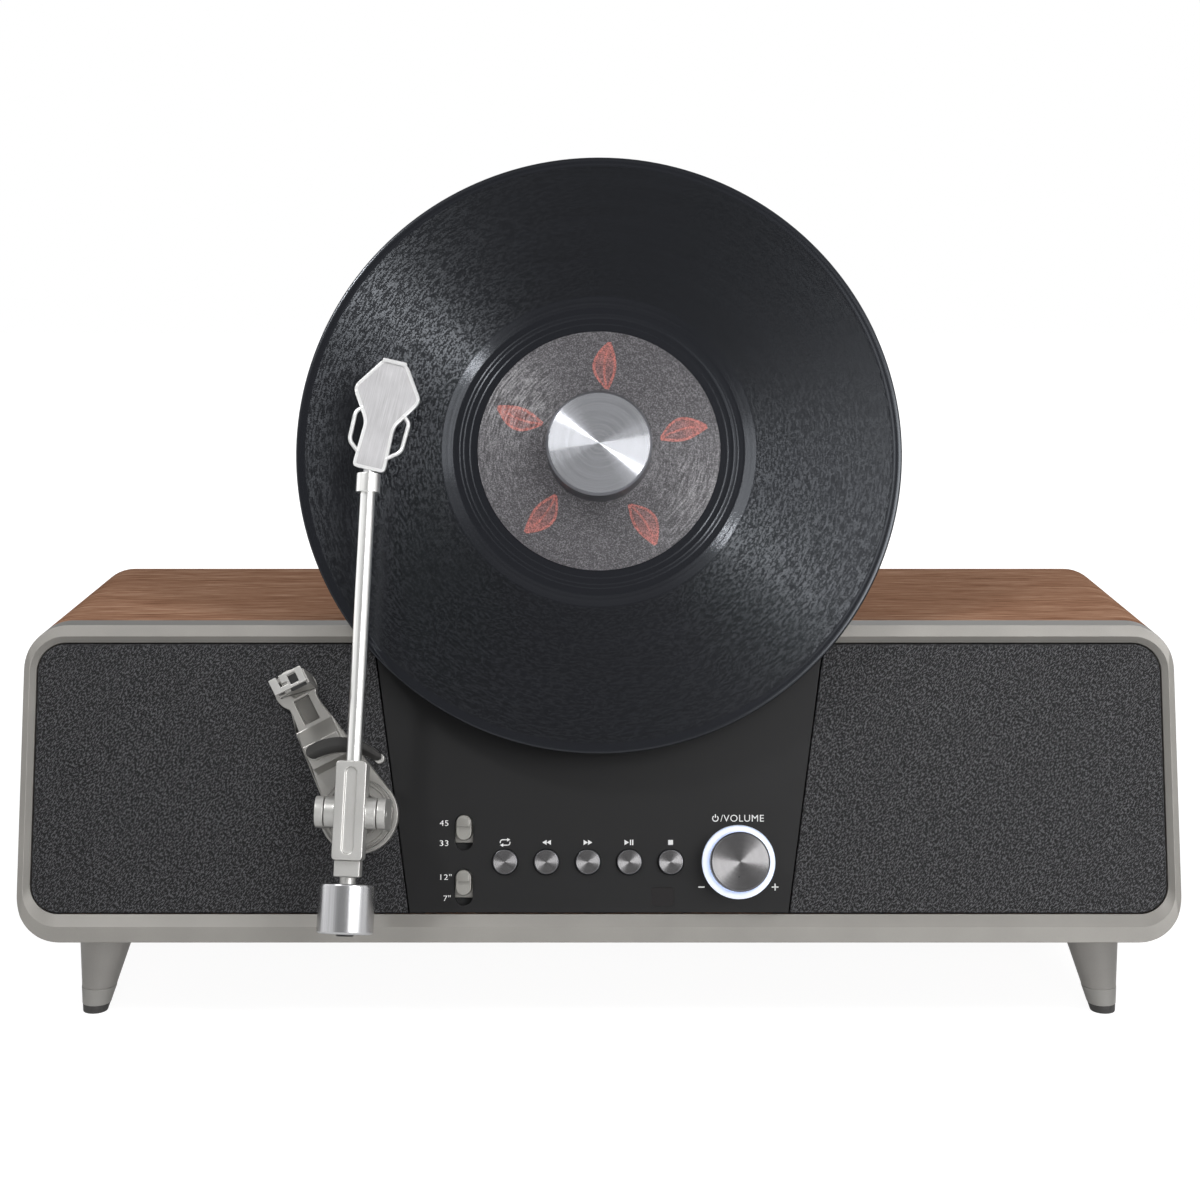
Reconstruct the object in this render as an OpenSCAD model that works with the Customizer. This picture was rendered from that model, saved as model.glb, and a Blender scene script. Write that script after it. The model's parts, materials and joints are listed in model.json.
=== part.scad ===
// Vertical record player: a leaning front face with two grilles, a control panel that rises
// into a round back board behind the record, a straight tonearm and a wrapped wood cabinet.
// Millimetres, +Z up, the front faces -Y, the floor is at Z = 0.

/* [Cabinet] */
// Width of the wood wrap
cab_w = 477; // [460:1:500]
// Height of the wood wrap
cab_h = 124; // [120:1:134]
// Depth of the cabinet at its base
cab_d = 173; // [165:1:200]
// Thickness of the wood
wrap_wall = 9; // [7:0.5:11]
// Outer corner radius of the wood wrap
wrap_corner_r = 18; // [15:0.5:22]
// Backward lean of the front face, in degrees
face_lean = 18; // [15:0.5:20]
// Depth at which the rear panel is set in
rear_recess = 12; // [11:0.5:18]
// Thickness of the rear panel
rear_panel_t = 4; // [3:0.5:6]
// Play left round panels that are set into the wrap
panel_play = 0.3; // [0.2:0.05:0.5]

/* [Legs] */
// Height of the cabinet above the floor
leg_h = 36; // [30:1:44]
// Radius of a leg at its top
leg_top_r = 11.8; // [10:0.1:13]
// Radius of a leg at the floor
leg_tip_r = 5.2; // [4.5:0.1:7]
// Outward splay of the legs, in degrees
leg_splay = 9; // [0:0.5:12]
// Distance of the leg tops from the cabinet's sides
leg_inset_x = 33; // [31:0.5:50]
// Distance of the leg tops from the front and back edges
leg_inset_y = 22; // [20:0.5:36]
// Height of the rubber tip
tip_h = 3.4; // [2.5:0.1:5]
// Height of the pale band above the tip
band_h = 7.2; // [5:0.1:9]
// Radius of a leg bolt
leg_bolt_r = 2.9; // [2:0.1:3.5]
// Length of a leg bolt below the wood
leg_bolt_grip = 12; // [8:0.5:16]

/* [Front frame] */
// Depth of the front frame behind the panel face
bezel_depth = 8; // [7:0.5:10]
// Height of the frame's ridge in front of the panel face
bezel_rise = 2.5; // [1.5:0.1:4]
// Fall from the ridge to the frame's outer edge
bezel_drop = 1.4; // [0.4:0.1:1.4]
// Width of the frame at the sides
bezel_side_w = 5; // [4:0.1:8]
// Width of the frame at the top
bezel_top_w = 7.7; // [6:0.1:10]
// Width of the frame at the bottom
bezel_bottom_w = 10.9; // [9:0.1:14]
// Width of the inner bevel at the sides and the top
bevel_side_w = 2.3; // [1:0.1:3]
// Width of the inner bevel at the bottom
bevel_bottom_w = 5.2; // [3:0.1:7]
// Corner radius of the frame's opening
opening_corner_r = 12; // [8:0.5:15]

/* [Grilles and speakers] */
// Thickness of a grille
grille_t = 3; // [2:0.25:4]
// Dark gap round a grille
grille_gap = 0.6; // [0.3:0.05:1]
// Thickness of the baffle boards
baffle_t = 6; // [4:0.5:9]
// Overlap of the panel on the baffle boards
baffle_lap = 6; // [4:0.5:8]
// Distance of a speaker's centre from the cabinet's side
speaker_inset = 72.5; // [66:0.5:78]
// Height of the speakers up the face
speaker_v = 66; // [63:0.5:69]
// Radius of the speaker's rim in the baffle
speaker_r = 40.5; // [36:0.5:42]
// Width of the speaker's flange behind the baffle
speaker_flange_w = 5; // [3:0.5:6]
// Depth of the speaker behind its flange
speaker_depth = 33; // [28:1:38]
// Radius of the speaker's magnet
magnet_r = 28; // [22:0.5:32]

/* [Control panel and back board] */
// Width of the control panel at its bottom edge
panel_base_w = 154.8; // [150:0.2:160]
// Flare of the panel's sides, in degrees
panel_flare = 8; // [6:0.25:9]
// Thickness of the control panel
panel_t = 3; // [2.5:0.25:4]
// Thickness of the back board behind the panel
core_t = 21; // [20:0.5:25]
// Set-back of the back board from the panel's edge
core_inset = 1.2; // [0.6:0.1:2]
// Height up the face at which the back board starts
core_start_v = 96; // [90:1:104]
// Thickness of the back board's rear cover
cover_t = 2.5; // [2:0.25:4]
// Play left where the board passes the wood and the frame
core_play = 0.5; // [0.3:0.05:1]

/* [Record and drive] */
// Height of the spindle up the face
spindle_v = 200.5; // [197:0.5:205]
// Radius of the record
record_r = 125; // [123:0.5:127]
// Thickness of the record
record_t = 2; // [1.2:0.1:2.5]
// Radius of the record's label
label_r = 50; // [40:0.5:52]
// Thickness of the label
label_t = 0.2; // [0.1:0.05:0.4]
// Gap between the panel and the platter's plate
platter_lift = 8.5; // [8.5:0.25:11]
// Thickness of the platter's plate
platter_t = 5; // [4:0.25:7]
// Radius of the platter
platter_r = 97; // [94:0.5:104]
// Outer radius of the belt rim under the platter
rim_r = 70; // [62:0.5:71]
// Wall of the belt rim
rim_wall = 4; // [3:0.5:6]
// Height of the belt rim
rim_h = 5.3; // [4.5:0.1:5.5]
// Radius of the platter's hub
hub_r = 12; // [10:0.5:16]
// Thickness of the platter mat
mat_t = 2.5; // [1.5:0.1:4]
// Radius of the bearing shaft
shaft_r = 4; // [3.7:0.05:5]
// Radius of the centre pin that takes records
pin_r = 3.6; // [3.5:0.01:3.65]
// Radial play of turning and sliding shafts
run_play = 0.05; // [0.02:0.01:0.08]
// Outer radius of the bearing housing
bearing_r = 9; // [8:0.25:11]
// Radius of the bearing's flange
bearing_flange_r = 16; // [13:0.5:20]
// Radius of the record clamp
clamp_r = 21.7; // [18:0.1:26]
// Height of the record clamp
clamp_h = 15.5; // [13:0.1:20]
// Depth of the clamp's bore over the label
clamp_bore_h = 10; // [7:0.25:11]
// Radius of the drive motor
motor_r = 16; // [13:0.5:17]
// Height of the drive motor
motor_h = 18; // [14:0.5:19]
// Distance of the motor's shaft from the spindle
motor_reach = 83; // [82:0.5:86]
// Direction of the motor from the spindle, in degrees
motor_angle = 300; // [285:1:315]
// Radius of the motor's pulley
pulley_r = 6; // [4.5:0.1:7]
// Radius of the motor's shaft
motor_shaft_r = 1; // [0.8:0.05:1.5]
// Thickness of the belt
belt_t = 0.8; // [0.5:0.1:1.2]
// Width of the belt
belt_w = 3.4; // [2.5:0.1:3.6]
// Gap kept between curved faces that move past each other
move_gap = 0.3; // [0.3:0.05:0.5]

/* [Tonearm] */
// Sideways place of the arm's pivot
pivot_u = -98.3; // [-100:0.1:-97]
// Height of the arm's pivot up the face
pivot_v = 51.3; // [50:0.1:53]
// Height of the arm's axis over the panel face
arm_height = 34; // [33:0.25:38]
// Turn of the arm towards the record at rest, in degrees
arm_turn = 2.2; // [0:0.1:4]
// Radius of the arm tube
tube_r = 3.05; // [2.6:0.05:3.2]
// Reach of the tube from the pivot
tube_reach = 137.6; // [132:0.2:142]
// Length of the collar at the headshell
collar_l = 9; // [6:0.5:12]
// Radius of the collar
collar_r = 4.9; // [4:0.1:6]
// Turn of the headshell on the arm, in degrees
shell_turn = 11; // [6:0.5:14]
// Length of the headshell
shell_l = 45.8; // [43:0.1:48]
// Thickness of the headshell
shell_t = 2.6; // [2:0.1:3.5]
// Half width of the headshell at its shoulders
shell_half_w = 13.5; // [12:0.1:15]
// Half width of the headshell's neck
shell_neck_w = 6.4; // [5.5:0.1:7]
// Thickness of the finger loops' bars
loop_bar = 1.3; // [1:0.1:1.8]
// Distance from the headshell's foot to the finger loops' lower end
loop_low = 6.3; // [5:0.1:7]
// Distance from the headshell's foot to the finger loops' elbow
loop_elbow = 11.3; // [10:0.1:13]
// Distance from the headshell's foot to the finger loops' upper end
loop_high = 24.7; // [23:0.1:26]
// Reach of the finger loops beside the neck
loop_reach = 4.9; // [4:0.1:6]
// Gap under the stylus at rest
stylus_gap = 0.4; // [0.3:0.05:0.8]
// Width of the arm block
block_w = 12.2; // [11:0.1:14]
// Length of the arm block ahead of the pivot
block_fore = 20.3; // [17:0.1:21]
// Length of the arm block behind the pivot
block_aft = 18.8; // [15:0.1:22]
// Height of the block's top over the arm's axis
block_top = 7.5; // [7:0.1:9]
// Depth of the block's underside below the arm's axis
block_bottom = 5; // [4:0.1:6]
// Radius of the trunnions
trunnion_r = 6.2; // [5:0.1:6.5]
// Distance of the yoke's ears from the arm's axis
ear_in = 10.6; // [10:0.1:12]
// Thickness of a yoke ear
ear_t = 3.4; // [2.5:0.1:4]
// Radius of the gimbal pin
gimbal_r = 1.5; // [1.2:0.05:2]
// Radius of the vertical pivot shaft
pivot_r = 3; // [2.5:0.05:4]
// Radius of the base under the pivot
base_r = 16; // [15.8:0.1:18]
// Thickness of the arm base
base_t = 6; // [5:0.25:7]
// Length of the neck behind the block
neck_l = 6.5; // [4:0.1:9]
// Radius of the rear stub
stub_r = 3.2; // [2.6:0.05:3.6]
// Gap between the neck and the counterweight
weight_gap = 2.7; // [2:0.1:4]
// Radius of the counterweight
weight_r = 11.2; // [9:0.1:12]
// Length of the counterweight
weight_l = 19.6; // [15:0.1:21]

/* [Arm rest and lifter] */
// Direction of the rest bracket, in degrees towards the outside
rest_turn = 27.1; // [25:0.1:30]
// Distance of the rest's centre from the pivot
rest_reach = 57.9; // [56:0.1:62]
// Radius of the bracket's round end
rest_end_r = 8.6; // [7.5:0.1:10]
// Half width of the bracket at its waist
rest_waist = 6.3; // [5.5:0.1:7]
// Half width of the bracket at its hump
rest_foot = 8.4; // [7.6:0.1:9.4]
// Clear width of the cradle
cradle_w = 6.8; // [6.8:0.05:7.6]
// Sideways place of the cradle's centre on the bracket
cradle_p = 3.3; // [3:0.1:3.6]
// Length of the rest post along the arm
post_l = 6.5; // [5.5:0.1:8]
// Gap between the arm tube and the rest
rest_gap = 0.6; // [0.4:0.05:1]
// Radius of the lifter's inner edge
lifter_in_r = 25; // [24.8:0.1:26]
// Radius of the lifter's outer edge
lifter_out_r = 23; // [22:0.1:24]
// Distance of the lifter's guide post from the pivot
lifter_guide_r = 29; // [28:0.1:30]
// Reach of the arc to the outside, in degrees from the face's vertical
lifter_left = 33; // [30:1:36]
// Reach of the arc to the record, in degrees from the face's vertical
lifter_right = 21; // [18:1:24]
// Thickness of the rubber pad on the lifter
pad_t = 2.6; // [1.5:0.1:4]
// Radius of the lifter's guide post
lifter_post_r = 2.2; // [1.8:0.05:2.8]
// Height of the hump that guides the post
hump_h = 8; // [6:0.25:10]

/* [Controls] */
// Height of the buttons up the face
button_v = 32.1; // [31:0.1:34]
// Sideways place of the middle button
button_u = -4.6; // [-6:0.1:-3]
// Spacing of the buttons
button_pitch = 17; // [14:0.1:18]
// Radius of a button
button_r = 5; // [4:0.1:6]
// Height of a button over the panel
button_rise = 2; // [1.5:0.1:3]
// Play round a button in its hole
button_play = 0.3; // [0.2:0.05:0.5]
// Sideways place of the volume knob
volume_u = 57.3; // [55:0.1:59]
// Radius of the volume knob
volume_r = 12.1; // [10:0.1:12.2]
// Height of the volume knob's face over the panel
volume_h = 13; // [11:0.1:16]
// Radius of the volume shaft
volume_shaft_r = 3; // [2.5:0.05:3.5]
// Outer radius of the light ring
ring_r = 15.1; // [14:0.1:15.8]
// Width of the light ring
ring_w = 2.5; // [2:0.1:2.5]
// Height of the light ring over the panel
ring_rise = 0.6; // [0.2:0.1:0.8]
// Sideways place of the slide switches
slider_u = -55.5; // [-57:0.1:-54]
// Height of the upper switch's slot up the face
slider_top_v = 44.2; // [43.5:0.1:46]
// Height of the lower switch's slot up the face
slider_low_v = 21.8; // [21.5:0.1:23]
// Width of a switch's slot
slot_w = 7.4; // [6.8:0.1:8]
// Length of a switch's slot
slot_l = 14.8; // [14.6:0.1:16]
// Width of a switch's knob
slider_w = 6.2; // [5.5:0.1:6.2]
// Length of a switch's knob
slider_l = 10.2; // [9:0.1:10.2]
// Travel of a switch's knob
slider_travel = 3.8; // [3:0.1:3.8]
// Width of the remote-control window
window_w = 9.4; // [7:0.1:11]
// Height of the remote-control window
window_h = 7.7; // [5:0.1:8]
// Sideways place of the window's centre
window_u = 26; // [24:0.1:28]
// Height of the window's centre up the face
window_v = 18; // [17.5:0.1:19.5]
// Width of a button's switch on the control board
key_switch_w = 6; // [4:0.5:8]
// Width of a slide switch's body on the control board
slide_body_w = 8; // [6:0.5:10]
// Length of a slide switch's body on the control board
slide_body_l = 16; // [12:0.5:18]

/* [Circuit boards] */
// Thickness of the circuit boards
board_t = 1.6; // [1:0.1:2]
// Space between the panel and the control board
board_gap = 5.4; // [5.2:0.1:5.4]
// Width of the main board
main_board_w = 120; // [110:1:140]
// Depth of the main board
main_board_d = 50; // [44:1:56]
// Height of the main board's pillars
main_board_lift = 6; // [4:0.5:10]
// Distance of the main board from the rear panel
main_board_back = 22; // [16:1:26]
// Radius of the supply's capacitors
capacitor_r = 5; // [3:0.5:6]
// Height of the supply's capacitors
capacitor_h = 16; // [10:1:20]
// Spacing of the supply's capacitors
capacitor_pitch = 15; // [13:0.5:16]
// Width of the amplifier's heat sink
heat_sink_w = 36; // [24:1:40]
// Thickness of the amplifier's heat sink
heat_sink_t = 9; // [6:0.5:10]
// Height of the amplifier's heat sink
heat_sink_h = 18; // [12:1:24]

/* [Rear sockets] */
// Sideways place of the power inlet
inlet_x = -70; // [-80:1:-55]
// Sideways place of the audio input
aux_x = -25; // [-35:1:-15]
// Sideways place of the pair of line outputs
line_x = 25; // [15:1:35]
// Spacing of the line outputs
line_pitch = 14; // [11:0.5:20]
// Height of the sockets over the cabinet's base
socket_z = 38; // [32:0.5:50]
// Radius of the audio input's bore
aux_r = 1.76; // [1.7:0.01:1.8]
// Depth of the audio input's bore
aux_depth = 14; // [10:0.5:18]
// Outer radius of a line output's barrel
line_r = 4.15; // [4:0.01:4.3]
// Length of a line output's barrel
line_l = 8; // [6:0.25:10]
// Radius of the power inlet's mouth
inlet_r = 2.8; // [2.5:0.05:3.2]
// Radius of the power inlet's centre pin
inlet_pin_r = 1; // [0.6:0.05:1.25]

/* [Hidden] */
$fn = 64;
sliver = 0.05;
big = 2 * cab_w;
face_h = cab_h / cos(face_lean);
opening_top = face_h - bezel_top_w;
speaker_u = cab_w / 2 - speaker_inset;
panel_bottom = bezel_bottom_w + grille_gap;
board_r = panel_half(spindle_v) * cos(panel_flare);
core_back = panel_t + core_t;
cover_start_v = (cab_h + (core_back + cover_t) * sin(face_lean)) / cos(face_lean) + core_play;
platter_top = platter_lift + platter_t;
record_top = platter_top + mat_t + record_t;
rim_low = platter_lift - rim_h;
bearing_top = rim_low - move_gap;
bearing_flange_t = 3;
bearing_floor = 2;
hole_r = pin_r + run_play;
pin_gap = 1;
pulley_low = bearing_top + move_gap;
belt_low = rim_low + move_gap;
shell_low = 0.4;
shell_gap = 0.2;
collar_end = 1.2;
cartridge_h = 9.4;
cartridge_w = 12;
cartridge_l = 17;
weight_from = block_aft + neck_l + weight_gap;
weight_to = weight_from + weight_l;
turret_lip = 0.6;
turret_r = ear_in + ear_t + turret_lip;
turret_t = 4;
turret_ring_h = 2;
turret_gap = 0.4;
turret_low = base_t + turret_ring_h + turret_gap;
cradle_top = arm_height - tube_r - rest_gap;
clip_low = arm_height + tube_r + rest_gap;
cradle_floor = 3;
clip_t = 2.2;
clip_spine_t = 2.6;
clip_pin_r = 0.8;
prong_t = 1.4;
clip_gap = 0.5;
ear_w = 1.1;
post_left = cradle_p - cradle_w / 2 - prong_t - 1.2;
post_right = cradle_p + cradle_w / 2 + prong_t;
clip_left = post_left - clip_gap - clip_spine_t;
clip_axis_p = clip_left + clip_spine_t / 2;
clip_axis_n = cradle_top - 6;
pad_low = cradle_top - pad_t - 0.4;
lifter_t = 5.5;
lifter_in_at = [-4, -0.7];
lifter_out_at = [-5.5, 7.3];
lifter_tip = 4;
rest_end_p = -0.6;
waist_y = rest_reach - 8;
channel_w = 6.6;
channel_d = 3.5;
button_flange_w = 1.2;
button_flange_t = 1.3;
button_travel = 1.2;
board_n = panel_t + board_gap;
pivot_boss_r = pivot_r + 4;
jack_wall = 2;
rear_y = cab_d - rear_recess;
screw_r = 1.6;
screw_head_r = 3.2;
screw_head_t = 1.8;
cleat = 14;
front_reach = (pivot_v - weight_to * cos(arm_turn)) * sin(face_lean)
  - (arm_height + weight_r) * cos(face_lean);
face_y = -(front_reach + cab_d) / 2;

wood = [0.51, 0.36, 0.28];
warm_grey = [0.66, 0.65, 0.63];
charcoal = [0.22, 0.22, 0.23];
panel_black = [0.16, 0.16, 0.165];
bright_metal = [0.82, 0.82, 0.82];
dark_rubber = [0.08, 0.08, 0.08];
board_green = [0.10, 0.30, 0.18];

function panel_half(v, d = 0) =
  panel_base_w / 2 + (v - bezel_bottom_w) * tan(panel_flare) + d / cos(panel_flare);

// Places children in the face's frame: x to the right, y up the face, z out of it
module on_face() {
  translate([0, face_y, leg_h]) rotate([90 - face_lean, 0, 0]) children();
}

// Raises a flat shape from one height over the face to another
module slab(low, high) {
  translate([0, 0, low]) linear_extrude(high - low) children();
}

// Ring or disc on the face's frame
module disc(r, low, high) {
  translate([0, 0, low]) cylinder(r = r, h = high - low);
}

module rounded(w, h, r) {
  square([w - 2 * r, h], center = true);
  square([w, h - 2 * r], center = true);
  for (x = [-1, 1], y = [-1, 1]) translate([x * (w / 2 - r), y * (h / 2 - r)]) circle(r);
}

// Slot with round ends, upright
module capsule(w, l) {
  square([w, l - w], center = true);
  for (y = [-1, 1]) translate([0, y * (l - w) / 2]) circle(w / 2);
}

// Cabinet's front view drawn along its depth, between two distances from the front
module cab_prism(inset, near, far) {
  translate([0, face_y + far, leg_h + cab_h / 2]) rotate([90, 0, 0]) linear_extrude(far - near)
    rounded(cab_w - 2 * inset, cab_h - 2 * inset, wrap_corner_r - inset);
}

module half_space(side) {
  translate([side > 0 ? 0 : -big, -big / 2]) square(big);
}

// Opening of the front frame, grown or shrunk at the sides, top and bottom
module opening(side, top, bottom, r) {
  translate([0, (bezel_bottom_w - bottom + opening_top + top) / 2])
    rounded(cab_w - 2 * bezel_side_w + 2 * side, opening_top - bezel_bottom_w + top + bottom, r);
}

// Outline of the panel: straight flared sides that run into a circle round the spindle
module keyhole(d = 0, from_v = panel_bottom) {
  r = board_r + d;
  tangent = [r * cos(panel_flare), spindle_v - r * sin(panel_flare)];
  polygon([
    [-panel_half(from_v, d), from_v], [panel_half(from_v, d), from_v],
    tangent, [-tangent[0], tangent[1]]
  ]);
  translate([0, spindle_v]) circle(r);
}

module at_spindle() {
  translate([0, spindle_v, 0]) children();
}

module at_motor() {
  at_spindle() rotate(motor_angle) translate([motor_reach, 0, 0]) rotate(-motor_angle) children();
}

module cabinet_wrap() {
  color(wood) {
    difference() {
      cab_prism(0, -1, cab_d);
      cab_prism(wrap_wall, -2, cab_d + 1);
      on_face() slab(-bezel_depth, big) square(big, center = true);
      on_face() slab(-core_back - core_play, big) keyhole(core_play, core_start_v - 1);
      at_legs() translate([0, 0, -1]) cylinder(r = leg_bolt_r + panel_play, h = wrap_wall + 2);
    }
    difference() {
      intersection() {
        rear_cleats();
        cab_prism(wrap_wall, 0, cab_d);
      }
      at_screws() cylinder(r = screw_r, h = big, center = true);
    }
  }
}

// Corner blocks inside the wrap that the rear panel is screwed to
module rear_cleats() {
  for (x = [-1, 1], z = [0, 1])
    translate([
      x * (cab_w / 2 - wrap_wall - cleat / 2), face_y + rear_y - rear_panel_t - cleat / 2,
      leg_h + (z == 0 ? wrap_wall + cleat / 2 : cab_h - wrap_wall - cleat / 2)
    ]) cube(cleat, center = true);
}

// Screw places at the rear panel, with z pointing out of the back
module at_screws() {
  edge = wrap_wall + cleat / 2 + 1;
  for (x = [-1, 1], z = [edge, cab_h - edge])
    translate([x * (cab_w / 2 - edge), face_y + rear_y, leg_h + z]) rotate([-90, 0, 0]) children();
}

module at_legs() {
  for (x = [-1, 1], y = [leg_inset_y, cab_d - leg_inset_y])
    translate([x * (cab_w / 2 - leg_inset_x), face_y + y, leg_h]) children();
}

// One splayed cone per leg, cut to the heights between two levels over the floor
module leg_slices(low, high, grow = 0) {
  reach = leg_h / cos(leg_splay) + leg_top_r;
  taper = (leg_top_r - leg_tip_r) / leg_h;
  intersection() {
    for (x = [-1, 1], y = [-1, 1])
      translate([
        x * (cab_w / 2 - leg_inset_x),
        face_y + (y < 0 ? leg_inset_y : cab_d - leg_inset_y), leg_h
      ]) rotate([y * leg_splay, -x * leg_splay, 0]) translate([0, 0, -reach])
        cylinder(
          r1 = leg_top_r - taper * reach + grow, r2 = leg_top_r + taper * leg_top_r + grow,
          h = reach + leg_top_r
        );
    translate([-big / 2, -big / 2, low]) cube([big, big, high - low]);
  }
}

module legs() {
  color(warm_grey) {
    difference() {
      leg_slices(tip_h + band_h, leg_h);
      at_legs() translate([0, 0, -leg_bolt_grip]) cylinder(r = leg_bolt_r, h = big);
    }
    at_legs() {
      translate([0, 0, -leg_bolt_grip]) cylinder(r = leg_bolt_r, h = leg_bolt_grip + wrap_wall);
      translate([0, 0, wrap_wall]) cylinder(r = 2 * leg_bolt_r, h = leg_bolt_r);
    }
  }
}

module leg_bands() {
  color(bright_metal) leg_slices(tip_h, tip_h + band_h, move_gap / 2);
}

module leg_tips() {
  color(dark_rubber) leg_slices(0, tip_h);
}

module front_bezel() {
  color(warm_grey) difference() {
    intersection() {
      cab_prism(0, -big / 4, cab_d);
      on_face() hull() {
        translate([0, face_h / 2]) slab(-bezel_depth, bezel_rise - bezel_drop)
          square([cab_w, face_h + 2 * bezel_depth], center = true);
        slab(bezel_rise - sliver, bezel_rise)
          opening(bevel_side_w, bevel_side_w, bevel_bottom_w, opening_corner_r + bevel_side_w, $fn = 48);
      }
    }
    on_face() {
      slab(-bezel_depth - 1, big) opening(0, 0, 0, opening_corner_r);
      hull($fn = 48) {
        slab(-sliver, 0) opening(0, 0, 0, opening_corner_r);
        slab(bezel_rise, bezel_rise + sliver)
          opening(bevel_side_w, bevel_side_w, bevel_bottom_w, opening_corner_r + bevel_side_w);
      }
      slab(-bezel_depth - 1, big) keyhole(core_play, core_start_v);
    }
  }
}

module rear_panel() {
  color(panel_black) difference() {
    cab_prism(wrap_wall + panel_play, rear_y - rear_panel_t, rear_y);
    at_screws() cylinder(r = screw_r + panel_play, h = 3 * rear_panel_t, center = true);
    at_socket(inlet_x) cube([inlet_body_w(), inlet_body_w(), big / 8], center = true);
    at_socket(aux_x) cylinder(r = aux_body_r(), h = big / 8, center = true);
    at_socket(line_x) cube([line_pitch + 2 * line_r, 2 * line_r, big / 8], center = true);
  }
}

module rear_panel_screws() {
  color(bright_metal) at_screws() {
    cylinder(r = screw_head_r, h = screw_head_t);
    translate([0, 0, -rear_panel_t - cleat + 1]) cylinder(r = screw_r, h = rear_panel_t + cleat - 1);
  }
}

// Shape of a baffle board on one side, set into the wrap behind its grille
module baffle(side) {
  low = -grille_t - baffle_t;
  difference() {
    intersection() {
      cab_prism(wrap_wall + panel_play, -big / 4, cab_d);
      on_face() slab(low, -grille_t) intersection() {
        half_space(side);
        opening(-panel_play, -panel_play, -panel_play, opening_corner_r - panel_play);
      }
    }
    on_face() {
      slab(low - 1, 0) keyhole(-baffle_lap, -cab_h);
      slab(low - 1, 0) keyhole(core_play, core_start_v - 1);
      translate([side * speaker_u, speaker_v]) disc(speaker_r, low - 1, 0);
    }
  }
}

module baffle_left() {
  color(charcoal) baffle(-1);
}

module baffle_right() {
  color(charcoal) baffle(1);
}

module grille(side) {
  on_face() slab(-grille_t, 0) difference() {
    intersection() {
      opening(-grille_gap, -grille_gap, -grille_gap, opening_corner_r - grille_gap);
      half_space(side);
    }
    keyhole(grille_gap, -cab_h);
    if (side < 0) translate([pivot_u, pivot_v]) circle(pivot_boss_r);
  }
}

module grille_left() {
  color(charcoal) grille(-1);
}

module grille_right() {
  color(charcoal) grille(1);
}

module at_speaker(side) {
  on_face() translate([side * speaker_u, speaker_v, -grille_t]) children();
}

// Steel basket with its rim in the baffle and its magnet behind
module speaker_frame(side) {
  rim = speaker_r - 4.5;
  flange_n = -baffle_t - 2.5;
  magnet_n = -baffle_t - speaker_depth * 0.6;
  at_speaker(side) rotate_extrude() polygon([
    [rim, -1], [speaker_r, -1], [speaker_r, -baffle_t], [speaker_r + speaker_flange_w, -baffle_t],
    [speaker_r + speaker_flange_w, flange_n], [speaker_r, flange_n], [magnet_r, magnet_n],
    [magnet_r, -baffle_t - speaker_depth], [0, -baffle_t - speaker_depth], [0, magnet_n],
    [magnet_r - 3, magnet_n], [rim, flange_n]
  ]);
}

// Paper cone with its rolled edge and dust cap
module speaker_cone(side) {
  edge = speaker_r - 4.5 - move_gap;
  coil = edge * 0.3;
  at_speaker(side) rotate_extrude() polygon([
    [0, -12], [coil, -14], [edge - 5, -3], [edge, -2], [edge, -3.6], [edge - 4.6, -4.8],
    [coil, -16.5], [0, -16.5]
  ]);
}

module speaker_frame_left() {
  color(charcoal) speaker_frame(-1);
}

module speaker_frame_right() {
  color(charcoal) speaker_frame(1);
}

module speaker_cone_left() {
  color(charcoal) speaker_cone(-1);
}

module speaker_cone_right() {
  color(charcoal) speaker_cone(1);
}

// Places children at each button
module at_button(index) {
  translate([button_u + index * button_pitch, button_v, 0]) children();
}

module at_volume() {
  translate([volume_u, button_v, 0]) children();
}

module control_panel() {
  color(panel_black) on_face() difference() {
    slab(-panel_t, 0) keyhole();
    at_spindle() disc(bearing_r + move_gap, -panel_t - 1, 1);
    at_motor() disc(motor_boss_r() + move_gap, -panel_t - 1, 1);
    for (i = [-2:2]) at_button(i) disc(button_r + button_play, -panel_t - 1, 1);
    at_volume() disc(ring_r, -panel_t - 1, 1);
    for (v = [slider_top_v, slider_low_v])
      translate([slider_u, v]) slab(-panel_t - 1, 1) capsule(slot_w, slot_l);
    translate([window_u, window_v]) slab(-panel_t - 1, 1) rounded(window_w, window_h, 1.5);
  }
}

module back_board_outline(from_v) {
  intersection() {
    keyhole(-core_inset, from_v);
    translate([-big / 2, from_v]) square(big);
  }
}

module back_board() {
  color(charcoal) on_face() difference() {
    slab(-core_back, -panel_t) back_board_outline(core_start_v);
    at_spindle() disc(bearing_r, -core_back - 1, 0);
    at_spindle() disc(bearing_flange_r, -core_back - 1, -core_back + bearing_flange_t);
    at_motor() disc(motor_r + move_gap, -core_back - 1, 0);
  }
}

module back_board_cover() {
  color(panel_black) on_face() slab(-core_back - cover_t, -core_back) back_board_outline(cover_start_v);
}

module bearing_housing() {
  color(bright_metal) on_face() at_spindle() difference() {
    union() {
      disc(bearing_r, -core_back, bearing_top);
      disc(bearing_flange_r, -core_back, -core_back + bearing_flange_t);
    }
    disc(shaft_r + run_play, -core_back + bearing_floor, bearing_top + 1);
  }
}

function motor_boss_r() = motor_shaft_r + 3;

module drive_motor() {
  color(bright_metal) on_face() at_motor() difference() {
    union() {
      disc(motor_r, -panel_t - motor_h, -panel_t);
      disc(motor_boss_r(), -panel_t, 0);
    }
    disc(motor_shaft_r + run_play, -panel_t - motor_h / 2, 1);
  }
}

module motor_pulley() {
  color(bright_metal) on_face() at_motor() {
    disc(pulley_r, pulley_low, platter_lift - 1);
    disc(motor_shaft_r, -panel_t - motor_h / 2 + move_gap, pulley_low);
  }
}

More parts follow.
